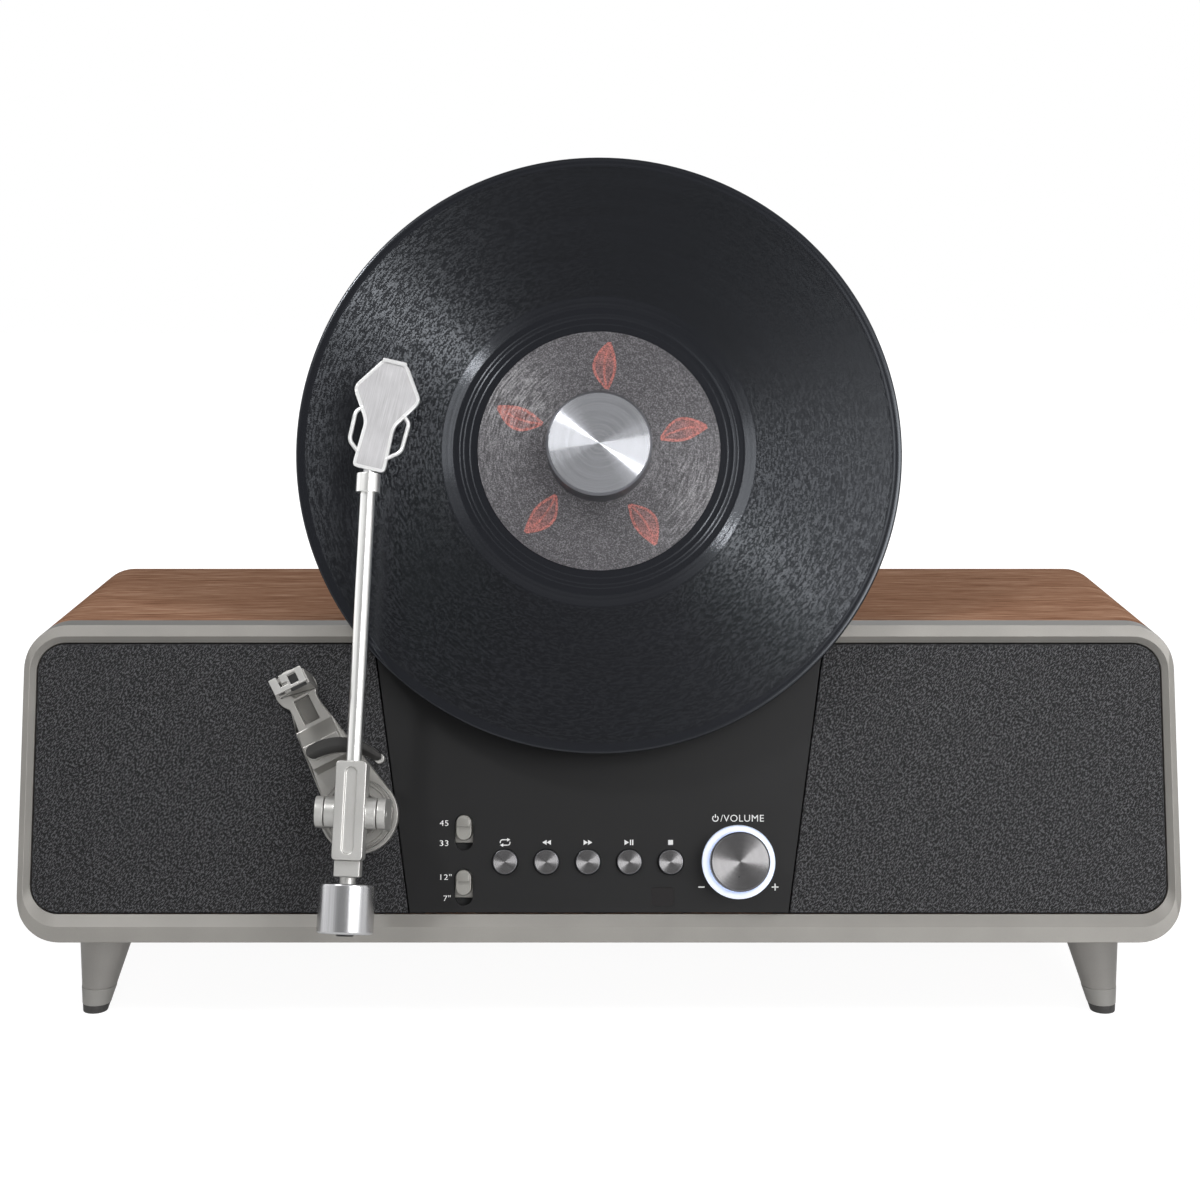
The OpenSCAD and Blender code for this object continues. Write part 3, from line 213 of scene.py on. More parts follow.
class Finish(Nodes):
    """A material with one glossy surface, whose patterns are built from its nodes."""

    def __init__(self, name, **constants):
        self.material = bpy.data.materials.new(name)
        self.material.use_nodes = True
        super().__init__(self.material.node_tree)
        self.surface = self.add("ShaderNodeBsdfPrincipled")
        self.output = self.add("ShaderNodeOutputMaterial", inputs={"Surface": self.surface})
        self.given = {}
        for key, value in constants.items():
            self.set(key.replace("_", " "), value)

    def set(self, socket, value):
        self.given[socket] = value
        self.feed(self.surface.socket.node.inputs[socket], value)

    def coordinates(self, local=WORLD):
        """Millimetres in a local frame, read from the piece's own place."""
        back = local.inverted()
        return self.mapped(self.add("ShaderNodeTexCoord")["Object"], back.to_scale(),
                           back.to_euler(), back.to_translation())

    def mapped(self, vector, scale=(1, 1, 1), rotation=(0, 0, 0), location=(0, 0, 0)):
        return self.add("ShaderNodeMapping", inputs={
            "Vector": vector, "Scale": scale, "Rotation": rotation, "Location": location})

    def noise(self, vector, scale, detail=2.0, roughness=0.5, distortion=0.0):
        """Noise with cells scaled alike, or by a number for each axis."""
        scales = scale if isinstance(scale, tuple) else (scale,) * 3
        return self.add("ShaderNodeTexNoise", inputs={
            "Vector": self.mapped(vector, scales), "Scale": 1.0, "Detail": detail,
            "Roughness": roughness, "Distortion": distortion})

    def ramp(self, value, stops):
        """Colour through stops, each a value and its colour."""
        made = self.add("ShaderNodeValToRGB", inputs={0: value})
        elements = made.socket.node.color_ramp.elements
        while len(elements) < len(stops):
            elements.new(0.5)
        for element, (position, colour) in zip(elements, stops):
            element.position = position
            element.color = colour
        return made

    def toned(self, shade, colour, dark, light, low=0.3, high=0.7):
        """A display colour, times a dark factor at low shades and a light one at high shades."""
        base = srgb(*colour)[:3]
        ends = [tuple(min(1.0, channel * factor) for channel in base) + (1.0,) for factor in (dark, light)]
        return self.ramp(shade, list(zip((low, high), ends)))

    def band(self, value, low, high, soft):
        """1 between two values, with a soft rise after the first and a soft fall after the second."""
        return self.step(value, low, low + soft) * (1 - self.step(value, high, high + soft))

    def ring_line(self, value, middle, half):
        """1 where a value lies at a middle, falling to 0 at half a width from it."""
        return 1 - self.step((value - middle).math("ABSOLUTE"), half * 0.4, half)

    def polar(self, local):
        """Distance from a frame's normal, and the angle round it in radians."""
        flat = self.split(self.coordinates(local))
        across, up = flat["X"], flat["Y"]
        return (across * across + up * up) ** 0.5, up.math("ARCTAN2", across)

    def turned_grain(self, local, fine, around, detail=2.0):
        """Noise drawn out along turned rings: cells a radius apart and in a share of a turn."""
        radius, angle = self.polar(local)
        place = self.add("ShaderNodeCombineXYZ", inputs={
            0: radius * fine, 1: angle.math("COSINE") * around, 2: angle.math("SINE") * around})
        return self.noise(place, 1, detail, 0.6)

    def spread(self, local, tilts, share=None, facing=None):
        """Splits a share of the surface into lobes, each tilted by a slope along turned rings' radius."""
        flat = self.split(self.coordinates(local))
        axes = [tuple(local.col[index].to_3d().normalized()) for index in range(2)]
        parts = [self.vector("SCALE", axis, Scale=flat[key]) for axis, key in zip(axes, "XY")]
        radial = self.add("ShaderNodeVectorTransform", {"convert_from": "OBJECT", "convert_to": "WORLD"},
                          {0: self.vector("NORMALIZE", self.vector("ADD", *parts))})
        facing = facing or self.add("ShaderNodeNewGeometry")["Normal"]
        total = None
        for index, slope in enumerate(tilts):
            tilt = self.vector("ADD", facing, self.vector("SCALE", radial, Scale=slope))
            lobe = self.add("ShaderNodeBsdfPrincipled", inputs=dict(
                self.given, Normal=self.vector("NORMALIZE", tilt)))
            total = self.blend(1 / (index + 1), total, lobe) if total else lobe
        if share is None:
            self.tree.nodes.remove(self.surface.socket.node)
        else:
            total = self.blend(share, self.surface, total)
        self.feed(self.output.inputs["Surface"], total)

    def relief(self, height, depth, strength=1.0):
        """Normal of a height from 0 to 1 over a depth in millimetres."""
        return self.add("ShaderNodeBump", inputs={
            "Height": height, "Distance": depth * MM, "Strength": strength})

    def bump(self, height, depth, strength):
        self.set("Normal", self.relief(height, depth, strength))


# Finishes

def walnut():
    """Brown veneer: broad bands, thin dark and light streaks and short pores along the grain."""
    f = Finish("walnut", Specular_IOR_Level=0.0)
    grain = f.add("ShaderNodeUVMap", {"uv_map": GRAIN_MAP})
    broad = f.noise(grain, (0.005, 0.06, 1), 3, 0.5, 0.5)
    streak = f.noise(grain, (0.025, 0.5, 1), 5, 0.65, 0.4)
    thin = f.noise(grain, (0.06, 1.1, 1), 3, 0.6)
    pores = f.step(f.noise(grain, (0.14, 2.4, 1), 2, 0.6), 0.55, 0.72)
    tone = broad * 0.2 + streak * 0.36 + thin * 0.44
    wood = f.ramp(tone, [(0.34, srgb(112, 75, 56)), (0.45, srgb(152, 112, 89)),
                         (0.54, srgb(176, 137, 112)), (0.66, srgb(208, 172, 147))])
    f.set("Base Color", f.mix(pores * 0.4, wood, srgb(92, 59, 43)))
    f.set("Roughness", 0.42 + thin * 0.2)
    f.bump(streak * 0.4 + thin * 0.3 - pores * 0.5, 0.05, 0.6)
    return f.material


def satin_grey(name, colour, metal, rough, wall=None):
    """Silver-grey paint with a fine flake, and painted shade in a darker colour on faces a piece marks."""
    f = Finish(name, Metallic=metal)
    at = f.coordinates()
    flake = f.noise(at, 5)
    paint = f.toned(flake * 0.5 + f.noise(at, 0.05) * 0.5, colour, 0.86, 1.12, 0.25, 0.75)
    # Faces a piece marks take a darker colour: painted shade.
    if wall:
        paint = f.mix(f.add("ShaderNodeAttribute", {"attribute_name": PAINTED_SHADE_MAP})["Fac"], paint, srgb(*wall))
    f.set("Base Color", paint)
    f.set("Roughness", rough - 0.06 + flake * 0.12)
    f.bump(flake, 0.012, 0.5)
    return f.material


def crepe():
    """Charcoal grille skin with short slanting creases, their ridges painted light as highlights and given
    a bump.
    """
    f = Finish("charcoal_crepe", Specular_IOR_Level=0.25)
    at = f.coordinates(FACE)

    def creases(slant, scale, detail):
        return f.noise(f.mapped(at, rotation=(0, 0, math.radians(slant))), scale, detail, 0.5, 0.4)

    fold = creases(-52, (0.85, 2.2, 1), 1.2) * 0.75 + creases(38, (0.9, 2.3, 1), 1) * 0.25
    # Crease ridges painted much lighter than the skin: painted highlights.
    lit = f.step(fold, 0.5, 0.58)
    base = f.mix(lit, srgb(5, 5, 6), srgb(87, 87, 90))
    f.set("Base Color", f.mix(f.noise(at, 0.02) * 0.25, base, srgb(36, 36, 39)))
    f.set("Roughness", 0.62 - lit * 0.16)
    f.bump(fold, 0.4, 0.8)
    return f.material


def moulded(name, colour, rough, grain=1.4, gloss=0.5):
    """Moulded plastic or rubber with a fine grain."""
    f = Finish(name, Specular_IOR_Level=gloss)
    at = f.coordinates()
    fine = f.noise(at, grain, 3)
    f.set("Base Color", f.toned(f.noise(at, 0.03) * 0.6 + fine * 0.4, colour, 0.8, 1.25))
    f.set("Roughness", rough - 0.05 + fine * 0.1)
    f.bump(fine, 0.03, 0.35)
    return f.material


def brushed(name, local, stretch, colour, rough, depth=0.02, metal=1.0):
    """Metal with fine brush lines; a small stretch runs along a local axis."""
    f = Finish(name, Metallic=metal)
    at = f.coordinates(local)
    lines = f.noise(at, stretch, 4, 0.65)
    f.set("Base Color", f.toned(lines * 0.7 + f.noise(at, 0.12) * 0.3, colour, 0.72, 1.15))
    f.set("Roughness", rough - 0.07 + lines * 0.14)
    f.bump(lines, depth, 0.5)
    return f.material


def slopes(gentle, steep, lobes):
    """Slopes on both sides of a turned ring, evenly spaced from gentle to steep."""
    half = lobes // 2
    side = [gentle + (steep - gentle) * index / (half - 1) for index in range(half)]
    return side + [-slope for slope in side]


def spun(name, local, colour, rough, tilts, share=None):
    """Metal turned on a lathe about a frame's normal."""
    f = Finish(name, Metallic=1.0)
    rings = f.turned_grain(local, 2.4, 0.6, 3)
    f.set("Base Color", f.toned(rings, colour, 0.84, 1.0))
    f.set("Roughness", rough - 0.03 + rings * 0.06)
    f.spread(local, tilts, share)
    return f.material


def polished(name, colour, rough):
    """Plated metal with faint draw lines along the arm."""
    f = Finish(name, Metallic=1.0)
    lines = f.noise(f.coordinates(ARM), (2.2, 0.02, 2.2), 3)
    darker = [level - 14 for level in colour]
    f.set("Base Color", f.ramp(lines, [(0.3, srgb(*darker)), (0.7, srgb(*colour))]))
    f.set("Roughness", rough + lines * 0.05)
    f.bump(lines, 0.01, 0.4)
    return f.material


def vinyl():
    """Blue-black record whose grooves fan the light into wedges of fine sparkle."""
    f = Finish("groove_vinyl", Specular_IOR_Level=0.44, Specular_Tint=(0.88, 0.93, 1.0, 1.0))
    radius = f.polar(SPINDLE)[0]
    cut = f.turned_grain(SPINDLE, 1.2, 2.5, 3)
    strokes = f.turned_grain(SPINDLE, 1.3, 34, 1)
    sparkle = f.noise(f.coordinates(SPINDLE), 1.5, 1)
    tracks = f.band(radius, TRACKS[0] - 0.4, TRACKS[-1] - 0.4, 0.8)
    for gap in TRACKS[1:-1]:
        tracks = tracks * (1 - 0.4 * f.ring_line(radius, gap, 0.3))
    smooth = f.band(radius, *LEAD_OUT, 0.5)
    groove = f.ramp(cut * 0.6 + strokes * 0.4, [(0.35, srgb(4, 4, 7)), (0.65, srgb(9, 10, 15))])
    # Outside the tracks the base is lighter: painted sheen on the smooth vinyl.
    f.set("Base Color", f.mix(tracks, srgb(22, 23, 28), groove))
    f.set("Roughness", 0.2 + tracks * (0.02 + cut * 0.06) - smooth * 0.09)
    grain = 0.12 + 0.88 * f.step(strokes * 0.55 + sparkle * 0.45, 0.46, 0.57)
    lines = sum((f.ring_line(radius, ring, 0.35) for ring in BRIGHT_RINGS), tracks * grain + smooth)
    f.spread(SPINDLE, slopes(0.14, 0.44, 10), lines, f.relief(sparkle, 0.03))
    return f.material


LEAVES = 5
LEAF_FOOT = 25.5
LEAF_LENGTH = 20.5
LEAF_HALF = 4.4
LEAF_MIDDLE = 36


def label_print():
    """Speckled charcoal paper with a faint sheen in rings, printed with chalky red leaves."""
    f = Finish("label_print", Specular_IOR_Level=0.8)
    radius, angle = f.polar(SPINDLE)
    speck = f.noise(f.coordinates(SPINDLE), 1.9, 2, 0.6)
    rings = f.turned_grain(SPINDLE, 1.7, 8.0)
    # The turned rings also lighten the paper's colour: painted sheen in rings.
    paper = f.ramp(speck * 0.8 + rings * 0.2, [(0.36, srgb(38, 37, 40)), (0.5, srgb(68, 66, 70)),
                                               (0.64, srgb(122, 119, 124))])
    sector = 2 * math.pi / LEAVES
    turn = (angle / sector + 20.3).math("FRACT") - 0.5
    off = radius - LEAF_MIDDLE
    side = (turn * radius * sector + off * off * 0.016).math("ABSOLUTE")
    along = (radius - LEAF_FOOT) / LEAF_LENGTH
    width = (along * math.pi).math("SINE") * LEAF_HALF
    edge = f.ring_line(side, width, 0.75)
    fill = (1 - f.step(side - width, -0.6, 0.0)) * (0.3 + 0.45 * f.step(along, 0.35, 0.9))
    vein = (1 - f.step(side, 0.25, 0.6)) * (1 - f.step(along, 0.7, 0.85))
    drawn = (edge + fill + vein * 0.7).math("MINIMUM", 1.0) * f.band(along, 0.0, 0.97, 0.03)
    ink = drawn * (0.3 + f.step(speck, 0.36, 0.58) * 0.65)
    red = f.mix(speck, srgb(150, 58, 54), srgb(228, 138, 124))
    f.set("Base Color", f.mix(ink, paper, red))
    f.set("Roughness", 0.25 + speck * 0.16)
    f.spread(SPINDLE, slopes(0.1, 0.34, 6), f.step(rings, 0.4, 0.62), f.relief(speck, 0.05))
    return f.material


GUIDE_MIDDLE = 13.9


def light_guide():
    """Frosted ring lit from behind, cooler at its edges."""
    f = Finish("lit_guide", Roughness=0.35, Emission_Strength=0.62)
    centre = extent("light_ring")[2]
    radius = f.polar(shifted(FACE, centre.x, centre.y - 0.35))[0]
    frost = f.noise(f.coordinates(FACE), 0.9)
    middle = 1 - f.step((radius - GUIDE_MIDDLE).math("ABSOLUTE"), 0.5, 1.5)
    glow = f.mix(middle * 0.7 + frost * 0.3, srgb(176, 196, 238), srgb(250, 252, 255))
    f.set("Base Color", f.mix(frost, srgb(190, 205, 235), srgb(235, 240, 250)))
    f.set("Emission Color", f.mix(f.step(radius, 14.6, 15.2), glow, srgb(46, 50, 62)))
    return f.material


def circuit():
    """Green board with faint copper tracks."""
    f = Finish("circuit_green")
    at = f.coordinates()
    f.set("Base Color", f.add("ShaderNodeTexBrick", inputs={
        "Vector": f.mapped(at, (0.12, 0.12, 0.12)), "Color1": srgb(18, 84, 46), "Color2": srgb(24, 98, 54),
        "Mortar": srgb(58, 138, 76), "Scale": 1.0, "Mortar Size": 0.03}))
    f.set("Roughness", 0.35 + f.noise(at, 0.5) * 0.2)
    return f.material


def print_white():
    """White screen print, a little uneven."""
    f = Finish("white_print", Roughness=0.6)
    fine = f.noise(f.coordinates(), 3, 3)
    f.set("Base Color", f.ramp(fine, [(0.3, srgb(220, 220, 220)), (0.6, srgb(250, 250, 250))]))
    return f.material


FINISH = {
    "walnut": walnut(),
    # The bezel's last colour is painted shade on its outer sides.
    "bezel": satin_grey("bezel_grey", (153, 150, 145), 0.15, 0.5, (88, 86, 82)),
    "switch": satin_grey("switch_grey", (150, 148, 143), 0.2, 0.4),
    "arm_grey": satin_grey("arm_grey", (198, 197, 194), 0.45, 0.34),
    "base_grey": satin_grey("base_grey", (172, 170, 166), 0.4, 0.36),
    # The yoke's last colour is painted shade on its turret, under the ears.
    "yoke": satin_grey("yoke_grey", (200, 199, 196), 0.4, 0.36, (142, 140, 136)),
    "channel": satin_grey("channel_grey", (112, 110, 106), 0.3, 0.4),
    "rim": satin_grey("shell_rim", (250, 250, 250), 0.25, 0.3),
    "band": satin_grey("band_grey", (168, 166, 162), 0.1, 0.5),
    "leg_grey": satin_grey("leg_grey", (162, 159, 155), 0.2, 0.42),
    "tip": moulded("tip_grey", (62, 61, 60), 0.6),
    "pad": moulded("pad_black", (40, 39, 38), 0.45, 1.0),
    "panel": moulded("panel_black", (13, 13, 14), 0.5, 2.2, 0.3),
    "dark_plastic": moulded("dark_plastic", (34, 34, 35), 0.55),
    "black_board": moulded("black_board", (28, 28, 29), 0.7),
    "rubber": moulded("black_rubber", (24, 24, 25), 0.68, 1.0),
    "cone": moulded("cone_paper", (30, 30, 31), 0.8, 0.8),
    "window": moulded("dark_window", (16, 13, 14), 0.44, 2.2, 0.3),
    "crepe": crepe(),
    "clamp": spun("clamp_metal", SPINDLE, (224, 226, 232), 0.13, slopes(0.06, 0.4, 10), 0.3),
    # The clamp's sides are in a darker grey than its face: painted shade.
    "clamp_side": brushed("clamp_side", SPINDLE, (0.06, 0.06, 4.0), (124, 125, 130), 0.36),
    "plate": brushed("shell_plate", SHELL, (2.6, 0.06, 2.6), (200, 199, 201), 0.5, 0.02, 0.3),
    "plated": brushed("plated_metal", WORLD, 2, (190, 190, 192), 0.3, 0.006),
    "dark_metal": brushed("dark_metal", WORLD, 2, (120, 120, 123), 0.3, 0.006),
    "brass": brushed("plated_brass", WORLD, 2, (200, 164, 96), 0.3, 0.006),
    "steel": polished("weight_steel", (200, 200, 202), 0.23),
    "chrome": polished("tube_chrome", (248, 248, 246), 0.28),
    "vinyl": vinyl(),
    "label": label_print(),
    "light": light_guide(),
    "circuit": circuit(),
    "print": print_white(),
}


# Camera, light and floor

CAMERA_AT = (0.0004, -0.9226, 0.3428)
CAMERA_TILT = 79.116
FLOOR_HALF = 4.0
RIGHT_LIGHT = (0.57, -0.761, 0.305)
# Softboxes: direction from the record, distance, width, height, watts, and the rays that miss them
SOFTBOXES = {
    "left_glint": ((-0.5, -0.486, 0.715), 1.6, 0.13, 0.13, 11, "visible_diffuse"),
    "right_glint": (RIGHT_LIGHT, 1.5, 0.7, 0.7, 13, "visible_diffuse"),
    "right_glow": (RIGHT_LIGHT, 1.5, 1.2, 1.2, 8, "visible_diffuse"),
    "left_key": ((-0.46, -0.45, 0.76), 1.6, 0.4, 0.4, 6, "visible_glossy"),
    "right_key": ((0.55, -0.46, 0.69), 1.6, 0.4, 0.4, 6, "visible_glossy"),
    "front_fill": ((0.1, -0.97, 0.1), 1.8, 1.4, 0.9, 14, "visible_glossy"),
    "top_back": ((0.7, 0.35, 0.8), 1.6, 1.2, 0.7, 3, "visible_glossy"),
    "back_fill": ((0.3, 0.92, 0.3), 2.2, 2.2, 1.4, 7, None),
}


def placed(name, data):
    """A new object in the scene."""
    obj = bpy.data.objects.new(name, data)
    bpy.context.scene.collection.objects.link(obj)
    return obj


def camera():
    data = bpy.data.cameras.new("photo_view")
    data.lens = 66.0
    data.sensor_width = 36.0
    obj = placed("photo_view", data)
    obj.location = CAMERA_AT
    obj.rotation_euler = Euler((math.radians(CAMERA_TILT), 0, 0))
    bpy.context.scene.camera = obj


def softbox(name, direction, distance, width, height, watts, missed_by):
    """Area light in a direction from the record's centre, turned to face it."""
    data = bpy.data.lights.new(name, "AREA")
    data.shape = "RECTANGLE"
    data.size = width
    data.size_y = height
    data.energy = watts
    obj = placed(name, data)
    away = Vector(direction).normalized()
    obj.location = spindle_at + away * distance
    obj.rotation_euler = away.to_track_quat("Z", "Y").to_euler()
    if missed_by:
        setattr(obj, missed_by, False)


def studio():
    """White backdrop, a darker room behind the camera and soft light from both sides."""
    world = bpy.data.worlds.new("studio")
    bpy.context.scene.world = world
    world.use_nodes = True
    nodes = Nodes(world.node_tree)
    path = nodes.add("ShaderNodeLightPath")
    way = nodes.split(nodes.add("ShaderNodeTexCoord")["Generated"])
    across, height = way["X"], way["Z"]
    behind = nodes.step(way["Y"], -0.35, 0.35)
    low_sky = nodes.step(height, 0.75, 0.25)
    left_wall = nodes.step(across, -0.45, -0.8)
    right_wall = nodes.step(across, 0.6, 0.9)
    high_front = nodes.step(height, 0.55, 0.68) * nodes.step(height, 0.9, 0.78) * (1 - behind)
    mirrored = 0.26 + low_sky * 0.06 + left_wall * 0.6 + right_wall * 0.4 + behind * 0.6 + high_front * 0.35
    ambient = 0.06 + nodes.step(height, -0.1, 0.9) * 0.24
    seen = path["Is Camera Ray"].math("MAXIMUM", path["Is Transmission Ray"])
    glossy = path["Is Glossy Ray"] * path["Diffuse Depth"].math("LESS_THAN", 0.5)
    level = seen + (1 - seen) * (glossy * mirrored + (1 - glossy) * ambient)
    back = nodes.add("ShaderNodeBackground", inputs={"Color": (1, 1, 1, 1), "Strength": level})
    nodes.add("ShaderNodeOutputWorld", inputs={"Surface": back})
    for name, values in SOFTBOXES.items():
        softbox(name, *values)


def floor():
    """Pale floor that stays near white and keeps the object's shadow."""
    bm = bmesh.new()
    bmesh.ops.create_grid(bm, x_segments=1, y_segments=1, size=FLOOR_HALF)
    obj = placed("pale_floor", plain_mesh(bm))
    material = bpy.data.materials.new("pale_floor")
    material.use_nodes = True
    nodes = Nodes(material.node_tree)
    path = nodes.add("ShaderNodeLightPath")
    shade = nodes.mix(path["Is Diffuse Ray"], (0.88, 0.88, 0.88, 1), (0.3, 0.3, 0.3, 1))
    lit = nodes.add("ShaderNodeBsdfDiffuse", inputs={"Color": shade})
    white = nodes.add("ShaderNodeEmission", inputs={"Color": (1, 1, 1, 1), "Strength": 1.3})
    seen = path["Is Camera Ray"] + path["Is Glossy Ray"] * 0.45
    away = nodes.vector("LENGTH", nodes.add("ShaderNodeTexCoord")["Object"])["Value"]
    far = nodes.step(away, 0.5, 1.2)
    surface = nodes.blend(seen * (0.72 + far * 0.28), lit, white)
    nodes.add("ShaderNodeOutputMaterial", inputs={"Surface": surface})
    obj.data.materials.append(material)


# Meshes

# Bright metals, kept from throwing streaks of light on the dark faces round them
MIRRORS = ("chrome", "steel", "plate", "rim", "clamp", "clamp_side")
# Degrees below which faces are one flat face, and above which the edge between them is eased
FLAT_ANGLE = 0.4
SHARP_ANGLE = 35

body_of = {node: body for body, nodes in frame["record"]["behaviour"]["bodies"].items() for node in nodes}
slot_of = {entry["node"]: entry["material_slot"] for entry in frame["record"]["subparts"]}


def coat(mesh, finish):
    """Gives a mesh one finish."""
    mesh.materials.clear()
    mesh.materials.append(FINISH[finish])


def show(name, mesh, finish, node, slot=None, local=None, sharp=30, instead=False):
    """Places a finished mesh on the body of a solid, on it or instead of it."""
    if local:
        mesh.transform(local)
    mesh.name = name
    coat(mesh, finish)
    mesh.shade_smooth()
    mesh.set_sharp_from_angle(angle=math.radians(sharp))
    obj = placed(name, mesh)
    obj.visible_diffuse = finish not in MIRRORS
    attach(obj, body_of[node])
    slot or slot_of[node]
    if instead:
        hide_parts(node)
    return obj


def plain_mesh(bm):
    mesh = bpy.data.meshes.new("shape")
    bm.to_mesh(mesh)
    bm.free()
    return mesh


def to_mesh(bm):
    """Mesh of a drawn shape, with its faces turned outwards."""
    bmesh.ops.recalc_face_normals(bm, faces=bm.faces)
    return plain_mesh(bm)


def taken_mesh(obj):
    """Plain mesh of what an object shows, after which the object goes."""
    mesh = bpy.data.meshes.new_from_object(obj.evaluated_get(bpy.context.evaluated_depsgraph_get()))
    bpy.data.objects.remove(obj)
    return mesh


def merged(node):
    """Editable copy of a solid with its loose triangles joined into whole faces."""
    bm = bmesh.new()
    bm.from_mesh(frame["nodes"][node].data)
    bmesh.ops.remove_doubles(bm, verts=bm.verts, dist=MERGE)
    bmesh.ops.dissolve_limit(bm, angle_limit=math.radians(FLAT_ANGLE), verts=bm.verts, edges=bm.edges)
    return bm


def ease_edges(bm, width):
    """Rounds the sharp edges of a shape by a width in millimetres."""
    edges = [edge for edge in bm.edges if len(edge.link_faces) == 2
             and edge.calc_face_angle(0) > math.radians(SHARP_ANGLE)]
    bmesh.ops.bevel(bm, geom=edges, offset=width * MM, offset_type="OFFSET", segments=2,
                    profile=0.5, affect="EDGES", clamp_overlap=False)


def refine(node, finish, ease, sharp=30, marked=None):
    """A solid's own shape with eased edges and smooth curves, and faces that a rule picks marked for
    painted shade.
    """
    bm = merged(node)
    if ease:
        ease_edges(bm, ease)
    if marked:
        wall = bm.faces.layers.float.new(PAINTED_SHADE_MAP)
        for face in bm.faces:
            face[wall] = float(marked(face))
    level_faces(show(node + ".finished", plain_mesh(bm), finish, node, sharp=sharp, instead=True))


def level_faces(obj):
    """Keeps large faces flat in shading, so that only the eased edges between them turn."""
    obj.modifiers.new("level", "WEIGHTED_NORMAL").keep_sharp = True


# Solids that stay as they are, under their finishes
PLAIN = {
    "black_board": ("baffle_left", "baffle_right", "control_board"),
    "dark_plastic": ("speaker_frame_left", "speaker_frame_right"),
    "cone": ("speaker_cone_left", "speaker_cone_right"),
    "plated": ("drive_motor", "bearing_housing", "spindle", "platter", "volume_shaft", "volume_encoder",
               "gimbal_pin", "rest_clip_pin"),
    "rubber": ("drive_belt", "platter_mat", "stylus"),
    "brass": ("motor_pulley",),
    "circuit": ("main_board",),
}
# Finishes and widths of eased edges in millimetres, with the solids that get them
EASED = (
    ("dark_plastic", 0.3, "rear_panel"), ("plated", 0.4, "rear_panel_screws"),
    ("crepe", 0.3, "grille_left", "grille_right"), ("panel", 0.2, "control_panel"),
    ("dark_plastic", 0.8, "back_board", "back_board_cover"),
    ("label", 0.0, "record_label"), ("clamp_side", 0.2, "record_clamp"), ("base_grey", 0.4, "tonearm_base"),
    ("arm_grey", 0.6, "arm_block"), ("chrome", 0.0, "arm_tube"), ("chrome", 0.3, "headshell_collar"),
    ("dark_plastic", 0.4, "cartridge"), ("arm_grey", 0.5, "arm_stub"), ("steel", 1.1, "counterweight"),
    ("arm_grey", 0.3, "cue_lifter"), ("arm_grey", 0.25, "rest_clip"),
    ("dark_metal", 0.3, "button_repeat", "button_back", "button_play", "button_forward", "button_stop",
     "volume_knob"),
    ("light", 0.2, "light_ring"), ("switch", 0.4, "speed_slider", "size_slider"),
    ("window", 0.1, "remote_window"),
    ("dark_plastic", 0.3, "power_inlet", "aux_socket"), ("plated", 0.3, "line_sockets"),
    ("leg_grey", 0.3, "legs"), ("band", 0.2, "leg_bands"), ("tip", 0.3, "leg_tips"),
)


def cabinet_wrap():
    """Wood wrap with its grain running round the case, along a map in millimetres."""
    bm = merged("cabinet_wrap")
    ease_edges(bm, 0.5)
    grain = bm.loops.layers.uv.new(GRAIN_MAP)
    width = cabinet_high.x - cabinet_low.x
    middle = (cabinet_high.z + cabinet_low.z) / 2
    for face in bm.faces:
        for loop in face.loops:
            x, y, z = loop.vert.co
            reach = abs(x) if z > middle else width - abs(x)
            along = math.copysign(cabinet_high.z - z + reach, x)
            loop[grain].uv = (along / MM, y / MM)
    show("cabinet_wrap.finished", plain_mesh(bm), "walnut", "cabinet_wrap", instead=True)


def front_bezel():
    """Front frame with crisp slopes, its outer sides painted darker than the slopes as painted shade."""
    middle = FACE @ extent("front_bezel")[2]

    def outer_wall(face):
        return face.normal.dot(face_n) < 0.5 and face.normal.dot(face.calc_center_median() - middle) > 0

    refine("front_bezel", "bezel", 0.18, 20, outer_wall)


# Repeated shapes by Geometry Nodes

# Millimetres within which a turned shape's seam and poles close
SEAM = 0.0005


class Maker(Nodes):
    """A Geometry Nodes tree with named inputs, run once for each plain mesh."""

    def __init__(self, name, **kinds):
        super().__init__(bpy.data.node_groups.new(name, "GeometryNodeTree"))
        sockets = self.tree.interface
        sockets.new_socket("Geometry", in_out="INPUT", socket_type="NodeSocketGeometry")
        self.key = {}
        for label, kind in dict(kinds, Material="Material").items():
            made = sockets.new_socket(label, in_out="INPUT", socket_type="NodeSocket" + kind)
            self.key[label] = made.identifier
        sockets.new_socket("Geometry", in_out="OUTPUT", socket_type="NodeSocketGeometry")
        self.given = self.add("NodeGroupInput")

    def end(self, geometry):
        real = self.add("GeometryNodeRealizeInstances", inputs={0: geometry})
        self.add("NodeGroupOutput", inputs={0: self.add("GeometryNodeSetMaterial", inputs={
            "Geometry": real, "Material": self.given["Material"]})})

    def run(self, points, **values):
        """A plain mesh of the tree's result, with points as the geometry that goes in."""
        base = bpy.data.meshes.new(self.tree.name)
        base.from_pydata(points, [], [])
        obj = placed(self.tree.name, base)
        modifier = obj.modifiers.new("maker", "NODES")
        modifier.node_group = self.tree
        for label, value in values.items():
            modifier[self.key[label]] = value
        return taken_mesh(obj)


def scatter_maker():
    """One shape on every point."""
    m = Maker("scatter", Shape="Object")
    shape = m.add("GeometryNodeObjectInfo", inputs={"Object": m.given["Shape"]})["Geometry"]
    m.end(m.add("GeometryNodeInstanceOnPoints", inputs={"Points": m.given["Geometry"], "Instance": shape}))
    return m


